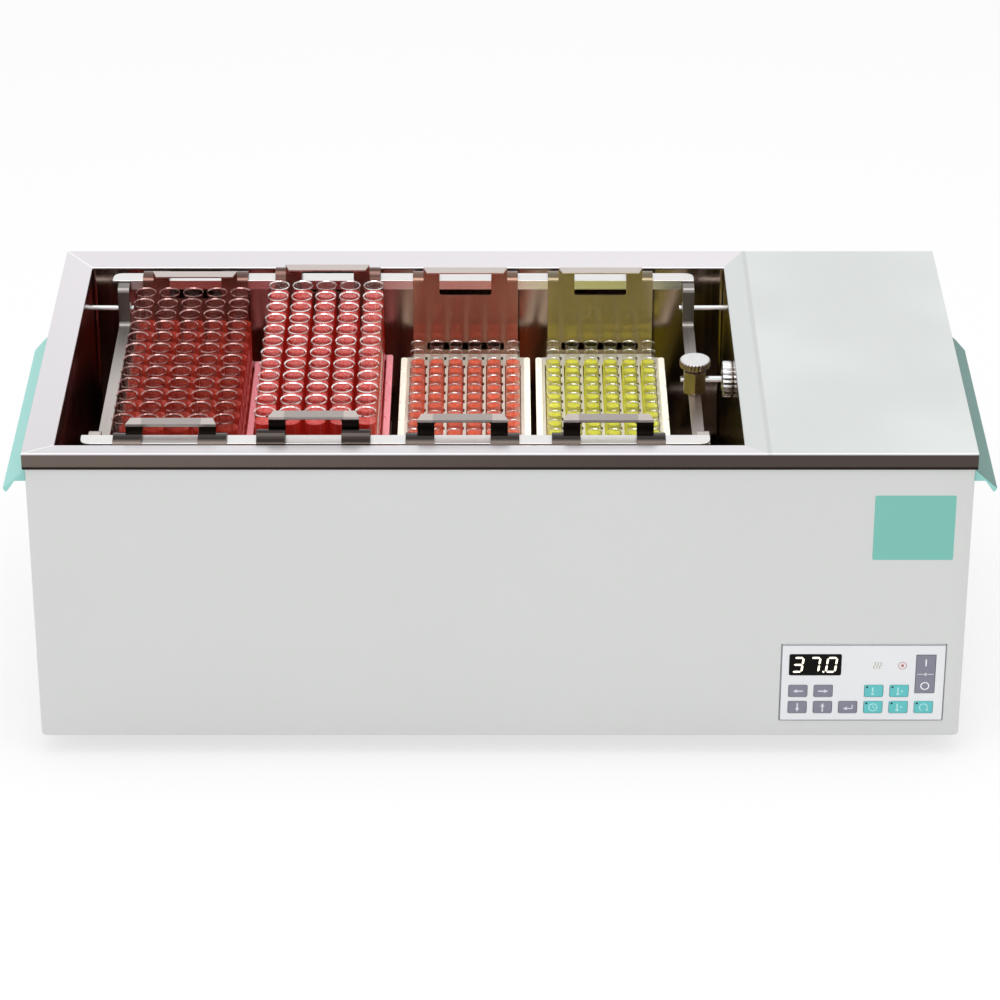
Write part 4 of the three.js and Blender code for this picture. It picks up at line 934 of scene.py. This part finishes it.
def dress_carriage(colours):
    """Rails, straps, bushes, pins, rod and coupling, with the turned screw and gland."""
    rail = brushed("rail_steel", colours.rail, 0.3, "x", 0.16)
    strap = strap_finish(colours)
    for node in ("front_rail", "rear_rail"):
        refined(node, rail, edge=0.35 * MM)
    for node in ("left_strap", "right_strap"):
        refined(node, strap, edge=0.35 * MM)
    nylon = moulded("bush_nylon", (0.82, 0.80, 0.76), 0.5, 1200.0, FILM_DEPTH)
    pin = machined("pin_steel", (0.90, 0.90, 0.90), 0.18)
    for end in ("front_left", "front_right", "rear_left", "rear_right"):
        refined("slide_bush_" + end, nylon, edge=0.2 * MM)
        refined("guide_pin_" + end, pin, edge=0.2 * MM)
    refined("push_rod", pin, edge=0.2 * MM)
    refined("coupling_block", machined("block_bronze", colours.bronze, 0.28), edge=0.5 * MM)
    dress_screw(colours)
    dress_gland()


RIB_DEPTH = 0.9 * MM
RIB_EDGE = 0.8 * MM
THUMB_RIBS = 26
GLAND_RIBS = 24
STEPS_PER_RIB = 6
THUMB_SHANK = 3.0 * MM
THUMB_HEAD = 9.0 * MM
THUMB_GRIP = 6.2 * MM
GLAND_HOLE = 2.9 * MM


def dress_screw(colours):
    """Thumb screw: a turned profile whose side is cut by even ribs, with a slightly dished top."""
    node = "thumb_screw"
    foot, top = low(node)[2], high(node)[2]
    radius = 0.5 * (high(node) - low(node))[0]
    edge = radius - RIB_EDGE
    collar, grip = top - THUMB_HEAD, top - THUMB_GRIP
    profile = [
        (THUMB_SHANK - 0.4 * MM, foot, 0), (THUMB_SHANK, foot + 0.5 * MM, 0), (THUMB_SHANK, collar, 0),
        (2 * THUMB_SHANK, collar, 0), (2 * THUMB_SHANK, grip, 0), (edge, grip + 0.2 * MM, 0.3),
        (radius, grip + 0.9 * MM, 1), (radius, top - 1.0 * MM, 1), (edge, top - 0.2 * MM, 0.3),
        (radius - 1.6 * MM, top, 0), (0.3 * radius, top - 0.4 * MM, 0), (0.1 * MM, top - 0.4 * MM, 0),
    ]
    points, faces = loft(lathe(profile, THUMB_RIBS * STEPS_PER_RIB, THUMB_RIBS, RIB_DEPTH))
    finish = Finish("screw_metal", colours.screw, 0.3, 1.0)
    patina = finish.noise((900.0, 900.0, 200.0), 3.0, 0.6)
    above = finish.step(finish.z, top - 0.9 * MM, 0.6 * MM)
    finish.set("Base Color", finish.mix(above, linear(colours.bronze), finish.shade(patina, 0.75, 1.05)))
    finish.set("Roughness", 0.22 + 0.25 * patina)
    finish.bump(patina, GRAIN_DEPTH)
    shape = (points + middle(node) * [1, 1, 0], faces)
    put("thumb_screw_turned", shape, finish, body_of(node), slot_of(node), [node])


def dress_gland():
    """Gland nut: a ribbed disc turned about the rod, with small rounded edges and a hole for the rod."""
    node = "gland_nut"
    size = high(node) - low(node)
    length, radius = size[0], 0.5 * size[1]
    edge = radius - RIB_EDGE
    profile = [
        (GLAND_HOLE, 0, 0), (0.55 * radius, 0, 0), (0.6 * radius, 0.6 * MM, 0), (edge, 0.8 * MM, 0.3),
        (radius, 1.6 * MM, 1), (radius, length - 1.0 * MM, 1), (edge, length, 0.3), (GLAND_HOLE, length, 0),
    ]
    rings = laid(lathe(profile, GLAND_RIBS * STEPS_PER_RIB, GLAND_RIBS, RIB_DEPTH), "x")
    points, faces = loft(rings, closed=True)
    shape = (points + middle(node) - [0.5 * length, 0, 0], faces)
    steel = machined("gland_steel", (0.86, 0.86, 0.87), 0.25)
    put("gland_nut_turned", shape, steel, "housing", slot_of(node), [node])


def dress_inside():
    """What lies in the tank: false floor, heater and probe."""
    refined("false_floor", brushed("floor_steel", (0.55, 0.50, 0.47), 0.25, "x", 0.2), edge=0.3 * MM)
    refined("heater_element", machined("heater_metal", (0.45, 0.42, 0.40), 0.35), edge=0)
    refined("temperature_probe", machined("probe_steel", (0.75, 0.75, 0.76), 0.22), edge=0.2 * MM)


def dress_drive():
    """What is behind the keypad: bracket, bearing, crank, belt drive, motor, board and inlet."""
    plate = brushed("bracket_steel", (0.66, 0.67, 0.69), 0.4, "x", 0.1)
    alloy = machined("turned_alloy", (0.74, 0.75, 0.77), 0.3)
    dark = moulded("motor_black", (0.14, 0.14, 0.15), 0.5, 900.0, Metallic=0.3)
    rubber = moulded("belt_rubber", (0.08, 0.08, 0.085), 0.75, 1400.0, RUBBER_DEPTH)
    board = Finish("board_green", (0.10, 0.33, 0.20), 0.35)
    track = board.noise((160.0, 160.0, 500.0), 0.0, 0.3)
    line = board.step(track, 0.52, 0.03)
    board.set("Base Color", board.mix(line, linear((0.08, 0.28, 0.17)), linear((0.20, 0.45, 0.28))))
    board.bump(line, GRAIN_DEPTH)
    refined("drive_bracket", plate)
    refined("bearing_housing", alloy)
    refined("crank", machined("crank_steel", (0.70, 0.70, 0.72), 0.28))
    refined("drive_pulley", alloy)
    refined("motor_pulley", alloy)
    refined("drive_belt", rubber, edge=0.2 * MM)
    refined("drive_motor", dark, edge=0.6 * MM)
    refined("control_board", board, edge=0.15 * MM)
    inlet = moulded("inlet_plastic", (0.11, 0.11, 0.12), 0.5, 1300.0)
    refined("mains_inlet", inlet, edge=0.3 * MM)


WIDE_TUBE = {
    "radius": 8.4 * MM, "length": 130 * MM, "bead": 0.5 * MM, "bead_height": 1.4 * MM,
    "pitch": (18.8 * MM, 19.85 * MM), "count": (5, 12), "sides": 14,
}
NARROW_TUBE = {
    "radius": 6.0 * MM, "length": 75 * MM, "bead": 0.35 * MM, "bead_height": 1.1 * MM,
    "pitch": (15.2 * MM, 15.2 * MM), "count": (6, 15), "sides": 12,
}


def contents(tube, sample, glass, fill, glow, bead):
    """What a rack holds: its kind of tube, the colours of sample and glass, the filled share, the sample's
    painted glow in place of light through it, and how strongly the bead shows."""
    return {"tube": tube, "sample": sample, "glass": glass, "fill": fill, "glow": glow, "bead": bead}


RACKS = {
    "rack_1": contents(WIDE_TUBE, "dark_red", "dark_glass", 0.78, 0.34, 0.42),
    "rack_2": contents(WIDE_TUBE, "red", "glass", 0.94, 0.16, 0.62),
    "rack_3": contents(NARROW_TUBE, "orange", "glass", 0.78, 0.3, 0.26),
    "rack_4": contents(NARROW_TUBE, "yellow", "glass", 0.78, 0.3, 0.26),
}
MOUTH_DEPTH = 5 * MM
MOUTH_RIM = -0.35


def tube_places(node, kind):
    """Places of a rack's tubes, row by row: the block's middle plus the pitch times the steps from there."""
    lines = []
    for centre, pitch, count in zip(middle(node), kind["pitch"], kind["count"]):
        lines.append(centre + pitch * (np.arange(count) - 0.5 * (count - 1)))
    across, along = np.meshgrid(*lines, indexing="ij")
    foot = high(node)[2] - kind["length"]
    return np.column_stack([across.ravel(), along.ravel(), np.full(across.size, foot)])


def tube_shape(kind):
    """A tube turned from its profile: round foot, straight wall, a bead at the rim and the mouth in it."""
    radius, length, bead = kind["radius"], kind["length"], kind["bead"]
    wall = radius - bead
    bore = wall - 0.5 * MM
    foot, edge = length - kind["bead_height"], length - 0.5 * kind["bead_height"]
    profile = [
        (0.3 * wall, 0.03 * wall), (0.86 * wall, 0.5 * wall), (wall, wall), (wall, foot), (radius, edge),
        (radius - 0.5 * bead, length), (bore, edge), (bore, foot), (bore, length - MOUTH_DEPTH),
    ]
    return loft(lathe(profile, kind["sides"]))


def liquid_shape(kind, fill):
    """The sample in a tube: a round foot, the wall of the tube and a surface that dips to its middle."""
    bore = kind["radius"] - kind["bead"] - 0.3 * MM
    surface = fill * kind["length"]
    foot = 0.6 * MM
    profile = [
        (0.35 * bore, foot), (0.86 * bore, foot + 0.5 * bore), (bore, foot + bore), (bore, surface),
        (0.8 * bore, surface - 0.5 * MM),
    ]
    return loft(lathe(profile, kind["sides"]))


TRAY_RADIUS = 4 * MM
TRAY_WALL = 1 * MM
TRAY_LIP = 2.5 * MM


def tray_shape(node, kind):
    """The tray under a rack's tubes: up its outside, over a low lip, down inside and across."""
    centre = middle(node)
    half = 0.5 * (high(node) - low(node))
    foot = high(node)[2] - kind["length"]
    lip = foot + TRAY_LIP
    rings = []
    for inset, height in ((0.0, low(node)[2]), (0.0, lip), (TRAY_WALL, lip), (TRAY_WALL, foot - 0.1 * MM)):
        loop = rounded_loop(half[0] - inset, half[1] - inset, TRAY_RADIUS - inset, 5) + centre[:2]
        rings.append(np.column_stack([loop, np.full(len(loop), height)]))
    return loft(np.array(rings))


def dress_tubes(colours):
    """For each rack one piece of glass for all its tubes, one of samples and one tray."""
    tray_steel = brushed("tray_steel", (0.80, 0.79, 0.78), 0.35, "y", 0.15)
    for rack, held in RACKS.items():
        node, kind = rack + "_tubes", held["tube"]
        body, slot = body_of(node), slot_of(node)
        places = tube_places(node, kind)
        points, faces = tube_shape(kind)
        glass = glass_finish(rack + "_glass", getattr(colours, held["glass"]), held["bead"])
        piece = put(rack + "_glass", repeated(points, faces, places), glass, body, slot, [node])
        bead = (points[:, 2] > kind["length"] - 0.7 * kind["bead_height"]).astype(np.float32)
        bead[-kind["sides"]:] = MOUTH_RIM
        attribute = piece.data.attributes.new("rim", "FLOAT", "POINT")
        attribute.data.foreach_set("value", np.tile(bead, len(places)))
        liquid = liquid_finish(rack + "_sample", getattr(colours, held["sample"]), held["glow"])
        points, faces = liquid_shape(kind, held["fill"])
        put(rack + "_samples", repeated(points, faces, places), liquid, body, slot)
        put(rack + "_tray", tray_shape(node, kind), tray_steel, body, slot_of(rack + "_frame"))


RAIL_FACE = -high("front_rail")[1]
PLATE_FACE = RAIL_FACE - 3.2 * MM
HOOK_FACE = RAIL_FACE - 0.2 * MM
SHOULDER_Z = high("front_rail")[2] + 0.7 * MM
BAR_DEPTH = 2.2 * MM
BAR_GREY_HALF = 22 * MM
HOLES_HALF = 42 * MM
HOLES_SHIFT = 1.2 * MM
FOLD_WIDTH = 0.6 * MM


def rear_plate(finish, outward, grain, reflected_tint):
    """The rear plate's front with a painted reflection of its samples' colour, darker at the hooks over the
    rail, and plain steel behind.
    """
    hook = finish.step(outward, HOOK_FACE, FOLD_WIDTH)
    # Painted reflection: the samples' colour mirrored in the plate, darker at the hooks.
    front = finish.mix(grain, linear(reflected_tint, 0.85), linear(reflected_tint, 1.1))
    front = finish.mix(hook, front, linear(reflected_tint, 0.72))
    behind = finish.step(finish.normal(1), 0.5, 0.4)
    return finish.mix(behind, front, finish.shade(grain, 0.85, 1.1))


def front_arms(finish, grain, colour):
    """The front plate's arms: a painted dark reflection, with a painted highlight along their shoulders."""
    # Painted highlight: a bright band at the shoulders' height.
    shoulder_highlight = 1 - finish.step(finish.size(finish.z - SHOULDER_Z), 0.8 * MM, 0.9 * MM)
    # Painted reflection: dark surroundings mirrored in the arms.
    mirror = finish.mix(grain, linear(colour, 0.3), linear(colour, 0.55))
    return finish.mix(shoulder_highlight, mirror, linear(colour))


def handle_bars(finish, rear, from_middle, grain):
    """The handle bars: grey in front, with painted highlights at their ends, and painted bright as light at
    the rear.
    """
    # Painted highlights: the bars' ends are painted bright, and painted light makes the rear bars bright.
    end = finish.step(from_middle, BAR_GREY_HALF, 1 * MM)
    front = finish.mix(end, finish.shade(grain, 0.68, 0.85), finish.shade(grain, 1.0, 1.25))
    return finish.mix(rear, front, finish.shade(grain, 1.05, 1.3))


def holed_deck(finish, tube, centre_x, from_middle, cloud, pale):
    """The pale deck with holes painted dark as shade where the unsigned sines of X and Y over the tubes'
    pitch are both small, and none beside the tubes."""
    (pitch_x, pitch_y), count = tube["pitch"], tube["count"][0]
    across = finish.x - (centre_x - 0.5 * (count % 2) * pitch_x - HOLES_SHIFT)
    line = finish.size(finish.sine(across * (math.pi / pitch_x)))
    row = finish.size(finish.sine(finish.y * (math.pi / pitch_y)))
    # Painted shade: the holes are dark spots painted on the deck instead of openings.
    solid = finish.step(finish.larger(line * 2.4, row), 0.5, 0.15)
    solid = finish.larger(solid, finish.step(from_middle, HOLES_HALF, 1 * MM))
    return finish.mix(solid, linear(pale, 0.22), finish.mix(cloud, linear(pale, 0.8), linear(pale)))


def rack_finish(rack, colours, reflected_tint, pale):
    """Bright rack steel by place: painted reflections and a painted highlight on the front plate's arms, a
    painted reflection on the rear plate, painted highlights on the handle bars, and holes painted dark as
    shade in the deck.
    """
    node = rack + "_frame"
    centre_x = middle(node)[0]
    finish = Finish(rack + "_steel", colours.rack, 0.1, 1.0)
    rolled = finish.noise((1200.0, 1200.0, 8.0), 2.0, 0.6)
    cloud = finish.noise(22.0, 3.0, 0.5)
    grain = 0.5 * rolled + 0.5 * cloud
    outward = finish.size(finish.y)
    from_middle = finish.size(finish.x - centre_x)
    plate = finish.step(outward, PLATE_FACE, FOLD_WIDTH)
    rear = finish.step(finish.y, 0.0, 1 * MM)
    bar = finish.step(finish.z, high(node)[2] - BAR_DEPTH, FOLD_WIDTH)
    arms = front_arms(finish, grain, colours.rack_arm_reflection)
    back = rear_plate(finish, outward, grain, reflected_tint)
    deck = holed_deck(finish, RACKS[rack]["tube"], centre_x, from_middle, cloud, pale)
    colour = finish.mix(plate, deck, finish.mix(rear, arms, back))
    finish.set("Base Color", finish.mix(bar, colour, handle_bars(finish, rear, from_middle, grain)))
    finish.set("Metallic", 0.1 + 0.85 * finish.larger(plate, bar) - 0.25 * plate * rear * (1 - bar))
    finish.set("Roughness", 0.08 + 0.06 * rolled + 0.08 * cloud + 0.15 * bar)
    return finish.bump(rolled, ROLLED_DEPTH)


def strip_finish(rack, pale):
    """Pale deck strip with a soft gloss, a faint painted glow in place of light on it, and slow clouds."""
    # Painted light: the emission makes the strips glow though no lamp is there.
    finish = Finish(rack + "_strip_film", pale, 0.3, 0.0, Emission_Color=linear(pale), Emission_Strength=0.4)
    cloud = finish.noise((90.0, 25.0, 90.0), 2.0, 0.5)
    finish.set("Base Color", finish.shade(cloud, 0.82, 1.1))
    finish.set("Roughness", 0.22 + 0.2 * cloud)
    return finish


DECK_DROP = 76 * MM
STRIP_PLACE = 49.3 * MM
STRIP_HALF = (2.4 * MM, 121 * MM)
STRIP_RADIUS = 2.2 * MM
STRIP_ROWS = ((0.0, -0.05 * MM), (0.0, 1.1 * MM), (0.3 * MM, 1.4 * MM))
DOME_RADIUS = 2.4 * MM
DOME_HEIGHT = 1.6 * MM
DOME_FOOT = 1.3 * MM
DOME_ROWS = MM * np.arange(-104, 110, 29)


def strip_shape(rack):
    """Strips along both sides of a rack's deck, each with a row of low domes: a dome's radius falls with the
    cosine of its turn while its height grows with the sine."""
    centre_x = middle(rack + "_frame")[0]
    deck = high(rack + "_frame")[2] - DECK_DROP
    points, faces = loft(stacked(*STRIP_HALF, STRIP_RADIUS, STRIP_ROWS, 5))
    turn = np.linspace(0, 0.42 * math.pi, 4)
    dome = loft(lathe(np.column_stack([DOME_RADIUS * np.cos(turn), DOME_HEIGHT * np.sin(turn)]), 12))
    parts = []
    for x in (centre_x - STRIP_PLACE, centre_x + STRIP_PLACE):
        parts.append((points + [x, 0, deck], faces))
        places = np.array([(x, y, deck + DOME_FOOT) for y in DOME_ROWS])
        parts.append(repeated(*dome, places))
    return combined(parts)


def dress_racks(colours):
    """Frames with a painted reflection of their neighbouring samples' colour on the rear plates, and their
    deck strips.
    """
    looks = {
        # Painted light: the pink stands in for white strips lit red by the samples beside them.
        "rack_1": (colours.dark_plate_reflection, colours.pink_strip),
        "rack_2": (colours.dark_plate_reflection, colours.pink_strip),
        "rack_3": (colours.brown_plate_reflection, colours.white_strip),
        "rack_4": (colours.olive_plate_reflection, colours.white_strip),
    }
    for rack, (reflected_tint, pale) in looks.items():
        node = rack + "_frame"
        refined(node, rack_finish(rack, colours, reflected_tint, pale), edge=0.3 * MM)
        put(rack + "_strips", strip_shape(rack), strip_finish(rack, pale), body_of(node), slot_of(node))


# Stage


LIGHT_AIM = Vector((0.0, 0.0, 0.2))


def floor_finish(stage):
    """A matt floor of which the camera sees a share as plain white."""
    finish = Finish("stage_floor", stage.floor_colour, 0.9)
    finish.set("Base Color", finish.shade(finish.noise(30.0, 2.0, 0.5), 0.995, 1.0))
    white = finish.node("ShaderNodeEmission", inputs={"Color": WHITE, "Strength": 1.0})
    seen = finish.ray("Is Camera Ray") * stage.floor_white
    both = finish.node("ShaderNodeMixShader", inputs={0: seen, 1: finish.lit, 2: white})
    finish.feed(finish.surface, both)
    return finish


def add_lamp(name, place, size, power):
    """A square lamp that looks at the bath."""
    lamp = bpy.data.lights.new(name, "AREA")
    lamp.size = size
    lamp.energy = power
    holder = bpy.data.objects.new(name, lamp)
    holder.location = place
    holder.rotation_euler = (LIGHT_AIM - Vector(place)).to_track_quat("-Z", "Y").to_euler()
    bpy.context.scene.collection.objects.link(holder)


def dress_stage(stage):
    """Floor, surround and three lamps."""
    scene = bpy.context.scene
    scene.view_settings.view_transform = "Standard"
    half = stage.floor_half
    corners = [(-half, -half, 0), (half, -half, 0), (half, half, 0), (-half, half, 0)]
    mesh = bpy.data.meshes.new("stage_floor")
    mesh.from_pydata(corners, [], [[0, 1, 2, 3]])
    mesh.materials.append(floor_finish(stage).material)
    ground = bpy.data.objects.new("stage_floor", mesh)
    scene.collection.objects.link(ground)
    light_world(stage)
    add_lamp("key_light", (-1.6, -2.2, 3.0), 2.4, stage.key_power)
    add_lamp("fill_light", (2.4, -1.2, 2.4), 2.0, stage.fill_power)
    add_lamp("top_light", (0.0, -0.2, 2.6), 1.6, stage.top_power)


def light_world(stage):
    """A plain white surround: full white for camera, glossy and glass rays, softer as a light."""
    world = bpy.data.worlds.new("stage_world")
    world.use_nodes = True
    nodes = Nodes(world.node_tree, "ShaderNodeOutputWorld")
    mirrored = nodes.larger(nodes.ray("Is Glossy Ray"), nodes.ray("Is Transmission Ray"))
    shown = nodes.larger(nodes.ray("Is Camera Ray"), mirrored)
    strength = stage.surround_light + (1 - stage.surround_light) * shown
    back = nodes.node("ShaderNodeBackground", inputs={"Color": WHITE, "Strength": strength})
    nodes.feed(nodes.surface, back)
    bpy.context.scene.world = world


def place_camera(stage):
    """A camera on the bath's middle plane that looks down by its pitch."""
    camera = bpy.data.cameras.new("photo_camera")
    camera.sensor_width = 36.0
    camera.lens = stage.camera_lens
    camera.clip_end = 50.0
    holder = bpy.data.objects.new("photo_camera", camera)
    holder.location = stage.camera_place
    holder.rotation_euler = (QUARTER - stage.camera_pitch, 0.0, 0.0)
    bpy.context.scene.collection.objects.link(holder)
    bpy.context.scene.camera = holder


# Settings


def shade_property(name, description, default):
    """A colour as it looks on a screen."""
    return bpy.props.FloatVectorProperty(
        name=name, description=description, default=default, size=3, min=0.0, max=1.0, subtype="COLOR_GAMMA",
    )


def float_property(name, description, default, **kind):
    """A plain number."""
    return bpy.props.FloatProperty(name=name, description=description, default=default, **kind)


class BathColours(bpy.types.PropertyGroup):
    """Colours of the bath, as they look on a screen."""

    deck: shade_property("Rim", "Brushed rim round the bath", (0.92, 0.905, 0.92))
    deck_cover: shade_property("Cover", "Brushed cover over the drive", (0.885, 0.90, 0.895))
    # Painted reflection: dark surroundings mirrored in the folded edge round the deck.
    deck_lip_reflection: shade_property("Deck lip", "Folded edge round the deck", (0.46, 0.41, 0.385))
    tank: shade_property("Tank", "Polished tank", (0.58, 0.51, 0.47))
    casing: shade_property("Casing", "Painted casing", (0.82, 0.825, 0.82))
    grip: shade_property("Grips", "Carrying grips", (0.58, 0.82, 0.79))
    # Painted shade on the upper face of the right grip.
    grip_top_painted_shade: shade_property("Right grip", "Upper face of the right grip", (0.33, 0.50, 0.47))
    patch: shade_property("Patch", "Plain patch on the front", (0.46, 0.74, 0.69))
    panel: shade_property("Panel", "Keypad film", (0.90, 0.905, 0.915))
    grey_key: shade_property("Grey keys", "Arrow keys and rocker", (0.50, 0.50, 0.56))
    teal_key: shade_property("Teal keys", "Function keys", (0.37, 0.75, 0.76))
    rail: shade_property("Rails", "Front and rear rail", (0.93, 0.925, 0.92))
    strap: shade_property("Straps", "Bent straps", (0.78, 0.75, 0.73))
    bronze: shade_property("Bronze", "Coupling block", (0.60, 0.54, 0.48))
    screw: shade_property("Screw", "Thumb screw's top", (0.92, 0.92, 0.92))
    rack: shade_property("Handle bars", "Rack handle bars", (0.74, 0.70, 0.68))
    # Painted reflection and highlight on the front arms of the racks.
    rack_arm_reflection: shade_property("Rack arms", "Front arms of the racks", (0.50, 0.45, 0.42))
    # Painted reflections of the samples in the racks' rear plates.
    dark_plate_reflection: shade_property("Dark plates", "Rear plates of the wide racks", (0.52, 0.38, 0.34))
    brown_plate_reflection: shade_property("Brown plates", "Rear plates that mirror red samples", (0.62, 0.47, 0.40))
    olive_plate_reflection: shade_property("Olive plate", "Rear plate that mirrors yellow samples", (0.60, 0.54, 0.42))
    # Painted light: the pink stands in for white strips lit red by the samples beside them.
    pink_strip: shade_property("Pink strips", "Deck strips beside red samples", (0.90, 0.58, 0.61))
    white_strip: shade_property("White strips", "Deck strips beside the narrow tubes", (0.96, 0.94, 0.88))
    glass: shade_property("Glass", "Tube glass", (0.97, 0.96, 0.95))
    dark_glass: shade_property("Dark glass", "Glass over the dark samples", (0.82, 0.66, 0.64))
    dark_red: shade_property("Dark red", "Samples in rack 1", (0.66, 0.20, 0.14))
    red: shade_property("Red", "Samples in rack 2", (0.80, 0.17, 0.13))
    orange: shade_property("Orange", "Samples in rack 3", (0.93, 0.38, 0.26))
    yellow: shade_property("Yellow", "Samples in rack 4", (0.91, 0.90, 0.27))


class BathStage(bpy.types.PropertyGroup):
    """Floor, light and camera."""

    floor_colour: shade_property("Floor", "Floor under the bath", (0.93, 0.93, 0.93))
    floor_half: float_property("Floor half", "Half the floor's side", 30.0, unit="LENGTH")
    floor_white: float_property("Floor white", "Share of plain white for the camera", 0.7, subtype="FACTOR")
    surround_light: float_property("Surround", "Strength of the surround as a light", 0.8)
    key_power: float_property("Key light", "Front left lamp", 22.0, unit="POWER")
    fill_power: float_property("Fill light", "Right lamp", 8.0, unit="POWER")
    top_power: float_property("Top light", "Lamp overhead", 24.0, unit="POWER")
    camera_pitch: float_property("Pitch", "Tilt below the horizon", math.radians(28.62), subtype="ANGLE")
    camera_lens: float_property("Lens", "Focal length on a 36 mm sensor, in millimetres", 139.7)
    camera_place: bpy.props.FloatVectorProperty(
        name="Camera", description="Camera's place", default=(0.0, -2.6775, 1.587), size=3,
        subtype="TRANSLATION",
    )


# Operators


class BATH_OT_deck(bpy.types.Operator):
    """Finish the stainless deck"""

    bl_idname = "water_bath.deck"
    bl_label = "Deck"

    def execute(self, context):
        dress_deck(context.scene.bath_colours)
        return {"FINISHED"}


class BATH_OT_tank(bpy.types.Operator):
    """Draw the tank and finish what is in it"""

    bl_idname = "water_bath.tank"
    bl_label = "Tank"

    def execute(self, context):
        dress_tank(context.scene.bath_colours)
        dress_inside()
        return {"FINISHED"}


class BATH_OT_casing(bpy.types.Operator):
    """Finish the painted casing, the rear panel, the base and the feet"""

    bl_idname = "water_bath.casing"
    bl_label = "Casing"

    def execute(self, context):
        dress_casing(context.scene.bath_colours)
        dress_feet()
        return {"FINISHED"}


class BATH_OT_grips(bpy.types.Operator):
    """Finish the two carrying grips"""

    bl_idname = "water_bath.grips"
    bl_label = "Grips"

    def execute(self, context):
        dress_grips(context.scene.bath_colours)
        return {"FINISHED"}


class BATH_OT_keypad(bpy.types.Operator):
    """Build the keypad's film, keys, signs, display number and rocker"""

    bl_idname = "water_bath.keypad"
    bl_label = "Keypad"

    def execute(self, context):
        colours = context.scene.bath_colours
        dress_panel(colours)
        dress_keys(colours)
        dress_rocker(colours)
        return {"FINISHED"}


class BATH_OT_carriage(bpy.types.Operator):
    """Finish the shaking carriage and its coupling"""

    bl_idname = "water_bath.carriage"
    bl_label = "Carriage"

    def execute(self, context):
        dress_carriage(context.scene.bath_colours)
        return {"FINISHED"}


class BATH_OT_drive(bpy.types.Operator):
    """Finish the drive, the board and the inlet"""

    bl_idname = "water_bath.drive"
    bl_label = "Drive"

    def execute(self, context):
        dress_drive()
        return {"FINISHED"}


class BATH_OT_racks(bpy.types.Operator):
    """Finish the four hanging racks"""

    bl_idname = "water_bath.racks"
    bl_label = "Racks"

    def execute(self, context):
        dress_racks(context.scene.bath_colours)
        return {"FINISHED"}


class BATH_OT_tubes(bpy.types.Operator):
    """Fill the racks with tubes and samples"""

    bl_idname = "water_bath.tubes"
    bl_label = "Tubes"

    def execute(self, context):
        dress_tubes(context.scene.bath_colours)
        return {"FINISHED"}


class BATH_OT_stage(bpy.types.Operator):
    """Set the floor, the lights and the camera"""

    bl_idname = "water_bath.stage"
    bl_label = "Stage"

    def execute(self, context):
        dress_stage(context.scene.bath_stage)
        place_camera(context.scene.bath_stage)
        return {"FINISHED"}


PIECE_OPERATORS = (
    BATH_OT_stage, BATH_OT_deck, BATH_OT_tank, BATH_OT_casing, BATH_OT_grips, BATH_OT_keypad,
    BATH_OT_carriage, BATH_OT_drive, BATH_OT_racks, BATH_OT_tubes,
)


class BATH_PT_sidebar(bpy.types.Panel):
    """Settings and pieces of the water bath"""

    bl_idname = "BATH_PT_sidebar"
    bl_label = "Shaking water bath"
    bl_space_type = "VIEW_3D"
    bl_region_type = "UI"
    bl_category = "Water Bath"

    def draw(self, context):
        for operator in PIECE_OPERATORS:
            self.layout.operator(operator.bl_idname)
        for group in (context.scene.bath_colours, context.scene.bath_stage):
            for name in group.__annotations__:
                self.layout.prop(group, name)


CLASSES = (BathColours, BathStage, *PIECE_OPERATORS, BATH_PT_sidebar)


def register():
    for item in CLASSES:
        bpy.utils.register_class(item)
    bpy.types.Scene.bath_colours = bpy.props.PointerProperty(type=BathColours)
    bpy.types.Scene.bath_stage = bpy.props.PointerProperty(type=BathStage)


def unregister():
    del bpy.types.Scene.bath_stage
    del bpy.types.Scene.bath_colours
    for item in reversed(CLASSES):
        bpy.utils.unregister_class(item)


def main():
    register()
    for operator in PIECE_OPERATORS:
        group, name = operator.bl_idname.split(".")
        getattr(getattr(bpy.ops, group), name)()


if __name__ == "__main__":
    main()
